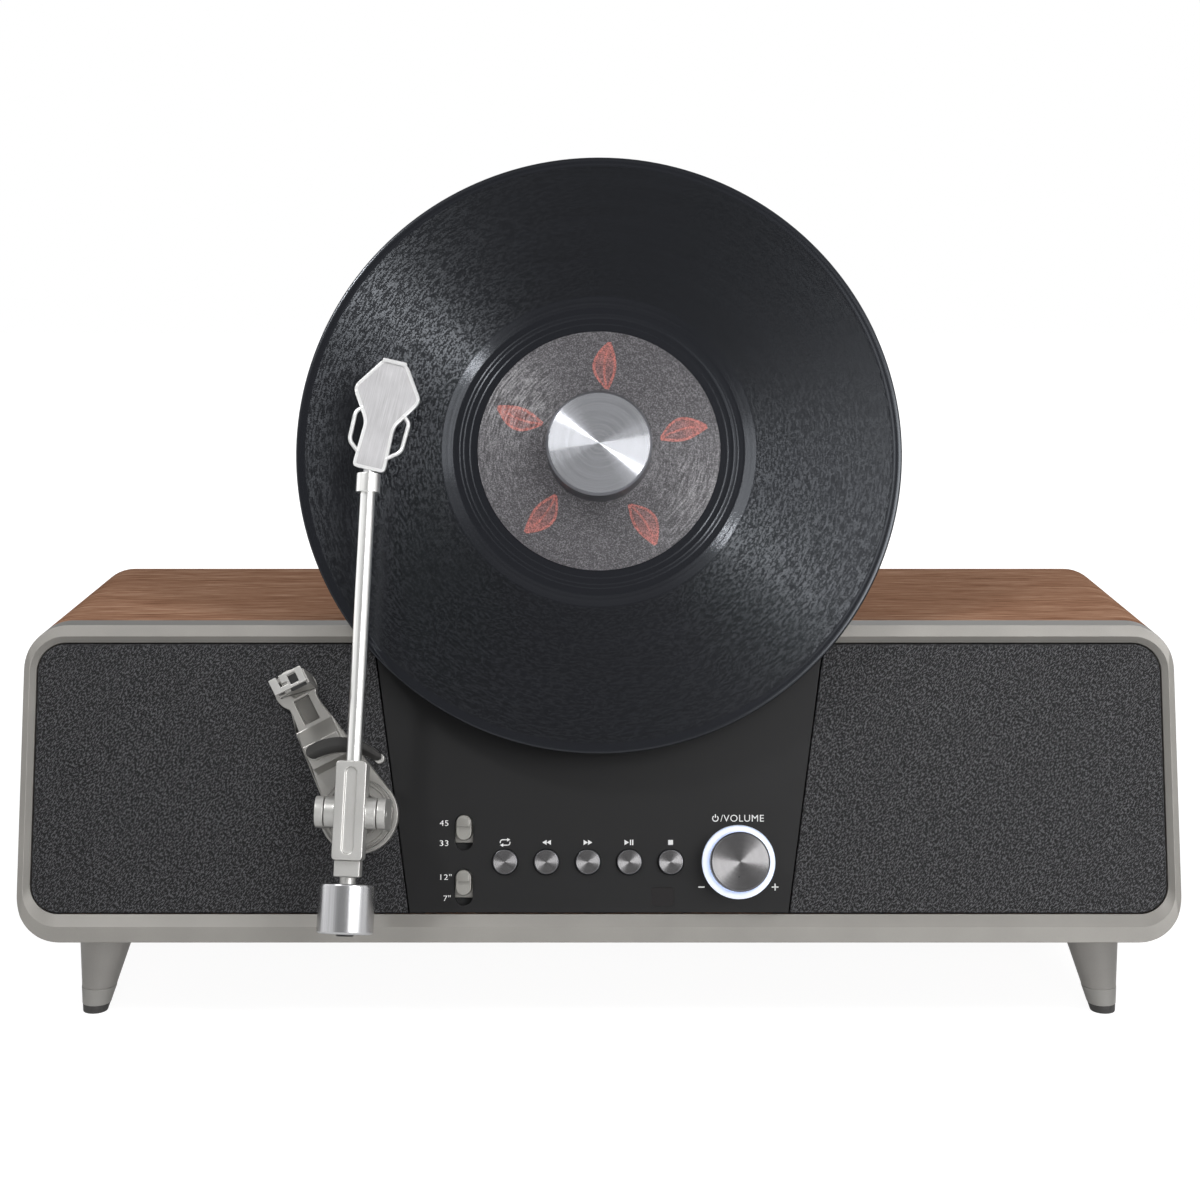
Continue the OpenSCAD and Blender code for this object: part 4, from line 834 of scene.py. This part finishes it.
def lathe_maker():
    """Turns a profile of points, each a radius and a height, round the normal."""
    m = Maker("lathe", Segments="Int")
    profile = m.given["Geometry"]
    count = m.add("GeometryNodeAttributeDomainSize", {"component": "MESH"}, {0: profile})["Point Count"]
    grid = m.add("GeometryNodeMeshGrid", inputs={
        "Size X": 1.0, "Size Y": 1.0, "Vertices X": count, "Vertices Y": m.given["Segments"] + 1})
    at = m.split(m.add("GeometryNodeInputPosition"))
    row = ((at["X"] + 0.5) * (count - 1)).math("ROUND")
    angle = (at["Y"] + 0.5) * (2 * math.pi)
    point = m.split(m.add(
        "GeometryNodeSampleIndex", {"data_type": "FLOAT_VECTOR", "domain": "POINT"},
        {"Geometry": profile, "Value": m.add("GeometryNodeInputPosition"), "Index": row}))
    place = m.add("ShaderNodeCombineXYZ", inputs={
        0: point["X"] * angle.math("COSINE"), 1: point["X"] * angle.math("SINE"), 2: point["Y"]})
    wrapped = m.add("GeometryNodeSetPosition", inputs={"Geometry": grid, "Position": place})
    m.end(m.add("GeometryNodeMergeByDistance", inputs={"Geometry": wrapped, "Distance": SEAM}))
    return m


LATHE = lathe_maker()
SCATTER = scatter_maker()


def turned(profile, finish, segments=48):
    """Shape turned round the normal from a profile of (radius, height) that closes on it or on itself."""
    bm = bmesh.new()
    bm.from_mesh(LATHE.run([(radius, height, 0) for radius, height in profile], Segments=segments,
                           Material=FINISH[finish]))
    return bm


def scattered(name, bm, points, finish, node):
    """Copies of one small shape on points of the face, as one piece."""
    shape = placed(name + ".shape", to_mesh(bm))
    mesh = SCATTER.run(points, Shape=shape, Material=FINISH[finish])
    bpy.data.objects.remove(shape)
    show(name, mesh, finish, node, local=FACE)


# Drawn shapes

def prism(bm, outline, low, high):
    """Adds a straight block with a flat outline to a shape."""
    bottom = bm.faces.new([bm.verts.new((x, y, low)) for x, y in outline])
    top = bmesh.ops.extrude_face_region(bm, geom=[bottom])["geom"]
    bmesh.ops.translate(bm, vec=(0, 0, high - low),
                        verts=[item for item in top if isinstance(item, bmesh.types.BMVert)])


def block(outline, low, high):
    """Shape of one straight block."""
    bm = bmesh.new()
    prism(bm, outline, low, high)
    return bm


def skin(bm, rows):
    """Joins closed rows of corners by faces and caps both ends."""
    for first, second in zip(rows, rows[1:]):
        for index in range(len(first)):
            after = (index + 1) % len(first)
            bm.faces.new((first[index], first[after], second[after], second[index]))
    bm.faces.new(rows[0])
    bm.faces.new(rows[-1])


def ribbon(points, width):
    """Outline of a line of points drawn with a width."""
    left, right = [], []
    for index, point in enumerate(points):
        before = Vector(points[max(index - 1, 0)])
        after = Vector(points[min(index + 1, len(points) - 1)])
        along = (after - before).normalized()
        side = Vector((-along.y, along.x)) * width / 2
        left.append(tuple(Vector(point) + side))
        right.append(tuple(Vector(point) - side))
    return left + right[::-1]


def arc(u, v, radius, start, end, steps=16):
    """Points of an arc between two angles in degrees."""
    turns = (math.radians(start + (end - start) * index / steps) for index in range(steps + 1))
    return [(u + radius * math.cos(turn), v + radius * math.sin(turn)) for turn in turns]


def softened(points, radius, closed, steps=5):
    """A line of points, or a closed outline, with its corners turned round."""
    result = []
    for index, point in enumerate(points):
        corner = Vector(point)
        if not closed and index in (0, len(points) - 1):
            result.append(tuple(corner))
            continue
        before = Vector(points[index - 1]) - corner
        after = Vector(points[(index + 1) % len(points)]) - corner
        cut = min(radius, before.length * 0.45, after.length * 0.45)
        start, end = corner + before.normalized() * cut, corner + after.normalized() * cut
        for share in (step / steps for step in range(steps + 1)):
            bend = start * (1 - share) ** 2 + corner * (2 * share * (1 - share)) + end * share ** 2
            result.append(tuple(bend))
    return result


def tube(bm, path, radius, sides=12):
    """Adds a round bar along a flat line of points."""
    up = Vector((0, 0, 1))
    rows = []
    for index, point in enumerate(path):
        along = Vector(path[min(index + 1, len(path) - 1)]) - Vector(path[max(index - 1, 0)])
        side = along.normalized().cross(up)
        turns = (2 * math.pi * step / sides for step in range(sides))
        rows.append([bm.verts.new(Vector(point) + radius * (math.cos(turn) * side + math.sin(turn) * up))
                     for turn in turns])
    skin(bm, rows)


def joined(*shapes):
    """One mesh of several closed shapes."""
    bm = bmesh.new()
    for shape in shapes:
        bm.from_mesh(to_mesh(shape))
    return to_mesh(bm)


def box_outline(u, v, width, height):
    return [(u + x * width / 2, v + y * height / 2) for x, y in ((-1, -1), (1, -1), (1, 1), (-1, 1))]


# Panel marks

INK = 0.05
STROKE = 0.42
ICON_V = 40.1
POWER_AT = (47.9, 49.9)
POWER_ARC = (1.15, 125, 415)
MINUS_U = 42.0
PLUS_U = 72.2
SIGN_V = 21.9
SIGN_STROKE = 0.5
# Lengths and half heights of arrows, and widths and heights of bars
SKIP_ARROW = (1.8, 1.05)
PLAY_ARROW = (1.9, 1.1)
PAUSE_BAR = (0.5, 2.2)
STOP_SQUARE = (2.0, 2.0)
# Text on the panel: its cap height, its width and its middle on the face
PANEL_TEXT = {"45": (2.3, 3.6, -63.8, 48.0), "33": (2.3, 3.5, -63.7, 39.8), '12"': (2.3, 4.6, -62.8, 26.0),
              '7"': (2.3, 2.9, -62.3, 17.4), "/VOLUME": (2.8, 17.9, 58.9, 50.0)}


def letters(bm, text, cap, width, u, v):
    """Adds lettering of a cap height and width, centred on a point of the face."""
    curve = bpy.data.curves.new("letters", "FONT")
    curve.body = text
    curve.extrude = INK / 2
    curve.space_character = 1.08
    mesh = taken_mesh(placed("letters", curve))
    low, high, middle = span([vertex.co for vertex in mesh.vertices])
    wide, tall = width / (high.x - low.x), cap / (high.y - low.y)
    mesh.transform(Matrix.Translation((u - middle.x * wide, v - middle.y * tall, INK / 2))
                   @ Matrix.Diagonal((wide, tall, 1, 1)))
    bm.from_mesh(mesh)


def pointer(bm, u, v, length, half, way):
    """Adds a triangle that points left (-1) or right (1)."""
    foot, tip = u - way * length / 2, u + way * length / 2
    prism(bm, [(foot, v - half), (tip, v), (foot, v + half)], 0, INK)


def repeat_icon(bm, u, v):
    """Adds a loop of two arrows."""
    line = [(-2.0, -0.25)] + arc(-1.0, 0.1, 1.0, 180, 90, 6) + [(0.9, 1.1)]
    head = [(0.8, 0.35), (2.1, 1.1), (0.8, 1.85)]
    for turn in (1, -1):
        for outline in (ribbon(line, STROKE), head):
            prism(bm, [(u + turn * x, v + turn * y) for x, y in outline], 0, INK)


def panel_marks():
    """White screen print over the keys, beside the switches and round the knob."""
    bm = bmesh.new()
    keys = {name: extent("button_" + name)[2].x for name in KEYS}
    repeat_icon(bm, keys["repeat"], ICON_V)
    for shift in (-0.85, 0.95):
        pointer(bm, keys["back"] + shift, ICON_V, *SKIP_ARROW, -1)
        pointer(bm, keys["forward"] + shift, ICON_V, *SKIP_ARROW, 1)
    pointer(bm, keys["play"] - 1.0, ICON_V, *PLAY_ARROW, 1)
    for text, layout in PANEL_TEXT.items():
        letters(bm, text, *layout)
    prism(bm, ribbon(arc(*POWER_AT, *POWER_ARC), STROKE), 0, INK)
    bars = [(keys["play"] + 0.55, ICON_V, *PAUSE_BAR), (keys["play"] + 1.45, ICON_V, *PAUSE_BAR),
            (keys["stop"], ICON_V, *STOP_SQUARE), (POWER_AT[0], POWER_AT[1] + 1.0, STROKE, 1.5),
            (MINUS_U, SIGN_V, 2.6, SIGN_STROKE), (PLUS_U, SIGN_V, 2.8, SIGN_STROKE),
            (PLUS_U, SIGN_V - 0.83, SIGN_STROKE, 1.14), (PLUS_U, SIGN_V + 0.83, SIGN_STROKE, 1.14)]
    for bar in bars:
        prism(bm, box_outline(*bar), 0, INK)
    show("panel_marks", to_mesh(bm), "print", "control_panel", local=shifted(FACE, n=0.01))


# Keys, knob and switches

# A height over the panel, above which keys, knobs and switches are measured
SHOWN = 0.1
TURNED_SLOPE = 0.03
TURNED_DEPTH = 0.3
TURNED_GREY = (108, 107, 108)
STEP = 1.3
GRIP_INSET = 0.4
RIB_PITCH = 0.62


def spun_top(name, node, finish, pitch, rim, segments):
    """Finely turned face on top of a round solid, a rim's width in from its edge."""
    low, high, centre = extent(node, above=SHOWN)
    place = shifted(FACE, centre.x, centre.y, high.z + TURNED_SLOPE * pitch / 2)
    if finish not in FINISH:
        FINISH[finish] = spun(finish + "_metal", place, TURNED_GREY, 0.14, slopes(0.14, 0.34, 10))
    rings = int(((high.x - low.x) / 2 - rim) / pitch)
    depth = TURNED_SLOPE * pitch / 4
    profile = [(pitch / 4 * row, depth * math.sin(row * math.pi / 2)) for row in range(4 * rings + 1)]
    profile += [(pitch * rings, -TURNED_DEPTH), (0, -TURNED_DEPTH)]
    show(name, to_mesh(turned(profile, finish, segments)), finish, node, local=place, sharp=50)


def spun_tops():
    for name in KEYS:
        spun_top("key_face_" + name, "button_" + name, "key_" + name, pitch=0.2, rim=0.35, segments=48)
    spun_top("knob_face", "volume_knob", "knob", pitch=0.22, rim=0.6, segments=72)
    spun_top("clamp_face", "record_clamp", "clamp", pitch=0.25, rim=1.0, segments=96)


def knob_grip():
    """Upright ribs round the knob's side."""
    low, high, centre = extent("volume_knob")
    count, thick, bare = 72, 0.2, 1.2
    ring = arc(centre.x, centre.y, (high.x - low.x) / 2 - 0.08, 0, 360, count)[:-1]
    half = (high.z - low.z) / 2 - bare
    rib = turned([(0, -half), (thick, thick - half), (thick, half - thick), (0, half)], "dark_metal", 6)
    scattered("knob_grip", rib, [(x, y, centre.z) for x, y in ring], "dark_metal", "volume_knob")


def knob_dot():
    """Small dark mark near the foot of the knob's face."""
    _, high, centre = extent("volume_knob", above=SHOWN)
    dot = block(arc(centre.x - 0.6, centre.y - 6.0, 0.4, 0, 337.5, 15), high.z - 0.1, high.z + 0.05)
    show("knob_dot", to_mesh(dot), "dark_plastic", "volume_knob", local=FACE)


def slider_grip(kind):
    """Raised ribbed half of a slide switch's knob."""
    node = kind + "_slider"
    low, high, centre = extent(node, above=SHOWN)
    width = high.x - low.x - 0.9
    radius = width / 2
    outline = [(-radius, centre.y + GRIP_INSET), (radius, centre.y + GRIP_INSET)]
    outline += arc(0, high.y - GRIP_INSET - radius, radius, 0, 180, 14)
    bm = block([(centre.x + x, y) for x, y in outline], high.z - 0.3, high.z + STEP)
    bm.transform(FACE)
    ease_edges(bm, 0.2)
    show(kind + "_grip_step", to_mesh(bm), "switch", node)
    rib = block(ribbon([(-width * 0.36, 0), (width * 0.36, 0)], 0.3), 0, 0.25)
    points = [(centre.x, centre.y + 1.1 + RIB_PITCH * index, high.z + STEP - 0.05) for index in range(5)]
    scattered(kind + "_grip_ribs", rib, points, "switch", node)


# Record

RING_PITCH = 0.45
RINGS_START = 48.0
SINK = 0.08
CUT_RATES = (5.3, 9.1, 13.7)
CUT_HEIGHT = 0.003
PROUD_HEIGHT = 0.07
PROUD_HALF = 0.5


def record():
    """Record with a rolled edge, fine cut rings and a few proud rings that part its tracks."""
    low, high, centre = extent("record", SPINDLE)
    hole = min(point.to_2d().length for point in solid_points("record", SPINDLE))
    half = (high.z - low.z) / 2
    roll = high.x - half

    def height(radius):
        fine = sum(math.sin(radius * rate) for rate in CUT_RATES)
        rings = sum(math.exp(-((radius - ring) / PROUD_HALF) ** 2) for ring in PROUD_RINGS)
        return high.z - SINK + CUT_HEIGHT * fine + PROUD_HEIGHT * rings

    cut = [RINGS_START + RING_PITCH * index for index in range(int((roll - RINGS_START) / RING_PITCH))]
    profile = [(hole, low.z), (hole, high.z - SINK)] + [(radius, height(radius)) for radius in cut]
    profile += [(roll + x, centre.z + y) for x, y in arc(0, 0, half, 75, -90, 8)]
    profile.append((hole, low.z))
    mesh = to_mesh(turned(profile, "vinyl", 192))
    show("record.finished", mesh, "vinyl", "record", local=SPINDLE, instead=True)


# Arm

SHELL_EDGE = ((6.8, 0.0), (6.2, 19.2), (12.9, 29.8), (13.5, 31.6), (13.1, 33.4), (4.9, 45.8))
SHELL_NOSE = ((-5.1, 44.5), (4.9, 44.5), (4.9, 46.0), (-5.1, 46.0))
FINGER_LOOP = ((5.8, 5.9), (11.1, 10.0), (11.4, 22.2), (8.6, 24.6))
SHELL_LOW = 0.4
SHELL_TOP = 3.0
SHELL_RIM = 1.35
SUNK = 0.35
NOSE_DEPTH = 1.5
NOSE_RISE = 0.4
LOOP_RADIUS = 0.85
LOOP_DROP = 0.9
# The left loop's size as a share of the right one's
LEFT_LOOP = 0.94
SOCKET = ((0, 0), (2.2, 0), (2.2, 10.2), (0, 10.2))
# Linings of the arm's rest: finish, slot, outline's middle and size, corner radius and heights
LININGS = {
    # Both linings are dark sheets that stand in for shade.
    "rest_pad": ("rubber", "rubber", (3.3, 57.9, 6.6, 6.3), 0.4, 27.3, 28.0),
    "channel_floor": ("channel", None, (0, 48.3, 6.5, 10.5), 0.5, 2.4, 2.7),
}
REST = shifted(PIVOT, turn=27.1)
ALONG = Matrix.Rotation(math.radians(-90), 4, "X")


def headshell():
    """Headshell with a bright rim and nose round a sunk brushed plate, finger loops and a socket."""
    edge = list(SHELL_EDGE) + [(-x, y) for x, y in reversed(SHELL_EDGE)]
    bm = block(softened(edge, radius=2.4, closed=True), SHELL_LOW, SHELL_TOP)
    top = max(bm.faces, key=lambda face: face.calc_center_median().z)
    bmesh.ops.inset_region(bm, faces=[top], thickness=SHELL_RIM, depth=-SUNK)
    inner = [vert.co.to_2d() for vert in top.verts]
    nose = softened(SHELL_NOSE, radius=0.5, closed=True)
    prism(bm, nose, SHELL_TOP - NOSE_DEPTH, SHELL_TOP + NOSE_RISE)
    bm.transform(SHELL)
    ease_edges(bm, 0.25)
    loops = bmesh.new()
    for side in (-LEFT_LOOP, 1):
        path = softened([(side * x, y) for x, y in FINGER_LOOP], radius=2.0, closed=False)
        tube(loops, [(x, y, SHELL_TOP - LOOP_DROP) for x, y in path], LOOP_RADIUS)
    loops.transform(SHELL)
    socket = turned(SOCKET, "rim")
    socket.transform(ARM @ Matrix.Translation((0, TUBE_END, 0)) @ ALONG)
    level_faces(show("headshell.finished", joined(bm, loops, socket), "rim", "headshell", instead=True))
    plate = block(inner, SHELL_TOP - SUNK - 0.3, SHELL_TOP - SUNK + 0.02)
    show("shell_plate", to_mesh(plate), "plate", "headshell", local=SHELL)


def cue_pad():
    """Black pad on the lifter: an arc round the pivot with round ends, sloping down on its inner side."""
    low, high, _ = extent("cue_pad", PIVOT)
    inner_bend, inner_reach = Vector((-4.0, -0.7)), 25.0
    outer_bend, outer_reach = Vector((-5.5, 7.3)), 23.0
    left, right, cap = -33, 21, 6
    profile = ((-1, 0), (-1, 0.2), (-0.94, 0.32), (-0.1, 0.97), (0.0, 1), (0.85, 1), (1, 0.85), (1, 0))
    bm = bmesh.new()

    def reach(bend, radius, way):
        along = way.dot(bend)
        return along + math.sqrt(radius ** 2 - bend.length_squared + along ** 2)

    def section(angle, end, share):
        held, turn = math.radians(end), math.radians(angle)
        way = Vector((math.sin(held), math.cos(held)))
        near, far = reach(inner_bend, inner_reach, way), reach(outer_bend, outer_reach, way)
        corners = []
        for across, rise in profile:
            radius = (near + far) / 2 + (far - near) / 2 * share * across
            corners.append(bm.verts.new((radius * math.sin(turn), radius * math.cos(turn),
                                         low.z + (high.z - low.z) * rise)))
        return corners

    rounds = [math.radians(angle) for angle in (84, 66, 45, 22)]
    rows = [section(left - cap * math.sin(turn), left, math.cos(turn)) for turn in rounds]
    rows += [section(angle, angle, 1) for angle in range(left, right + 1, 2)]
    rows += [section(right + cap * math.sin(turn), right, math.cos(turn)) for turn in reversed(rounds)]
    skin(bm, rows)
    show("cue_pad.finished", to_mesh(bm), "pad", "cue_pad", local=PIVOT, instead=True)


def rest_linings():
    """Black pad in the rest's cradle, painted shade under the clip's window, and a darker channel floor
    before it, painted shade too.
    """
    for name, (finish, slot, outline, corner, low, high) in LININGS.items():
        lining = block(softened(box_outline(*outline), corner, closed=True), low, high)
        show(name, to_mesh(lining), finish, "tonearm_base", slot=slot, local=REST)


# A height above the turret's top and below the ears' rounds, and a radius near the turret's edge
EAR_FOOT = 20.0
TURRET_EDGE = 14.3
TURRET_RINGS = ((8.9, -0.3), (9.2, 0.4), (9.7, 0.4), (10.0, 0.05), (12.4, 0.05), (12.7, 0.6), (13.3, 0.6),
                (13.6, 0.05), (14.0, -0.3), (8.9, -0.3))


def turret():
    """Yoke whose turret is painted darker, as shade under its ears, with two raised rings round the arm's
    pivot.
    """
    points = solid_points("arm_yoke", PIVOT)
    level = max(point.z for point in points if point.to_2d().length > TURRET_EDGE and point.z < EAR_FOOT)
    back = PIVOT.inverted()
    refine("arm_yoke", "yoke", 0.4, marked=lambda face: (back @ face.calc_center_median()).z < level + 0.3)
    rings = to_mesh(turned(TURRET_RINGS, "base_grey", 96))
    show("turret_rings", rings, "base_grey", "arm_yoke", local=shifted(PIVOT, n=level))


def weight_cap():
    """Dark plug in the counterweight's lower end, short of the stub when the weight is slid up."""
    low = extent("counterweight", ARM)[0].y
    profile = ((0, -0.9), (3.2, -0.9), (3.6, -0.5), (3.6, 0.0), (3.1, 0.0), (3.1, 0.3), (0, 0.3))
    bm = turned(profile, "dark_plastic")
    bm.transform(ARM @ Matrix.Translation((0, low, 0)) @ ALONG)
    show("weight_cap", to_mesh(bm), "dark_plastic", "counterweight")


camera()
studio()
floor()
cabinet_wrap()
front_bezel()
record()
for finish, nodes in PLAIN.items():
    for node in nodes:
        coat(frame["nodes"][node].data, finish)
for finish, ease, *nodes in EASED:
    for node in nodes:
        refine(node, finish, ease)
headshell()
cue_pad()
rest_linings()
turret()
weight_cap()
panel_marks()
spun_tops()
knob_grip()
knob_dot()
slider_grip("speed")
slider_grip("size")

bpy.context.scene.view_settings.view_transform = "Standard"
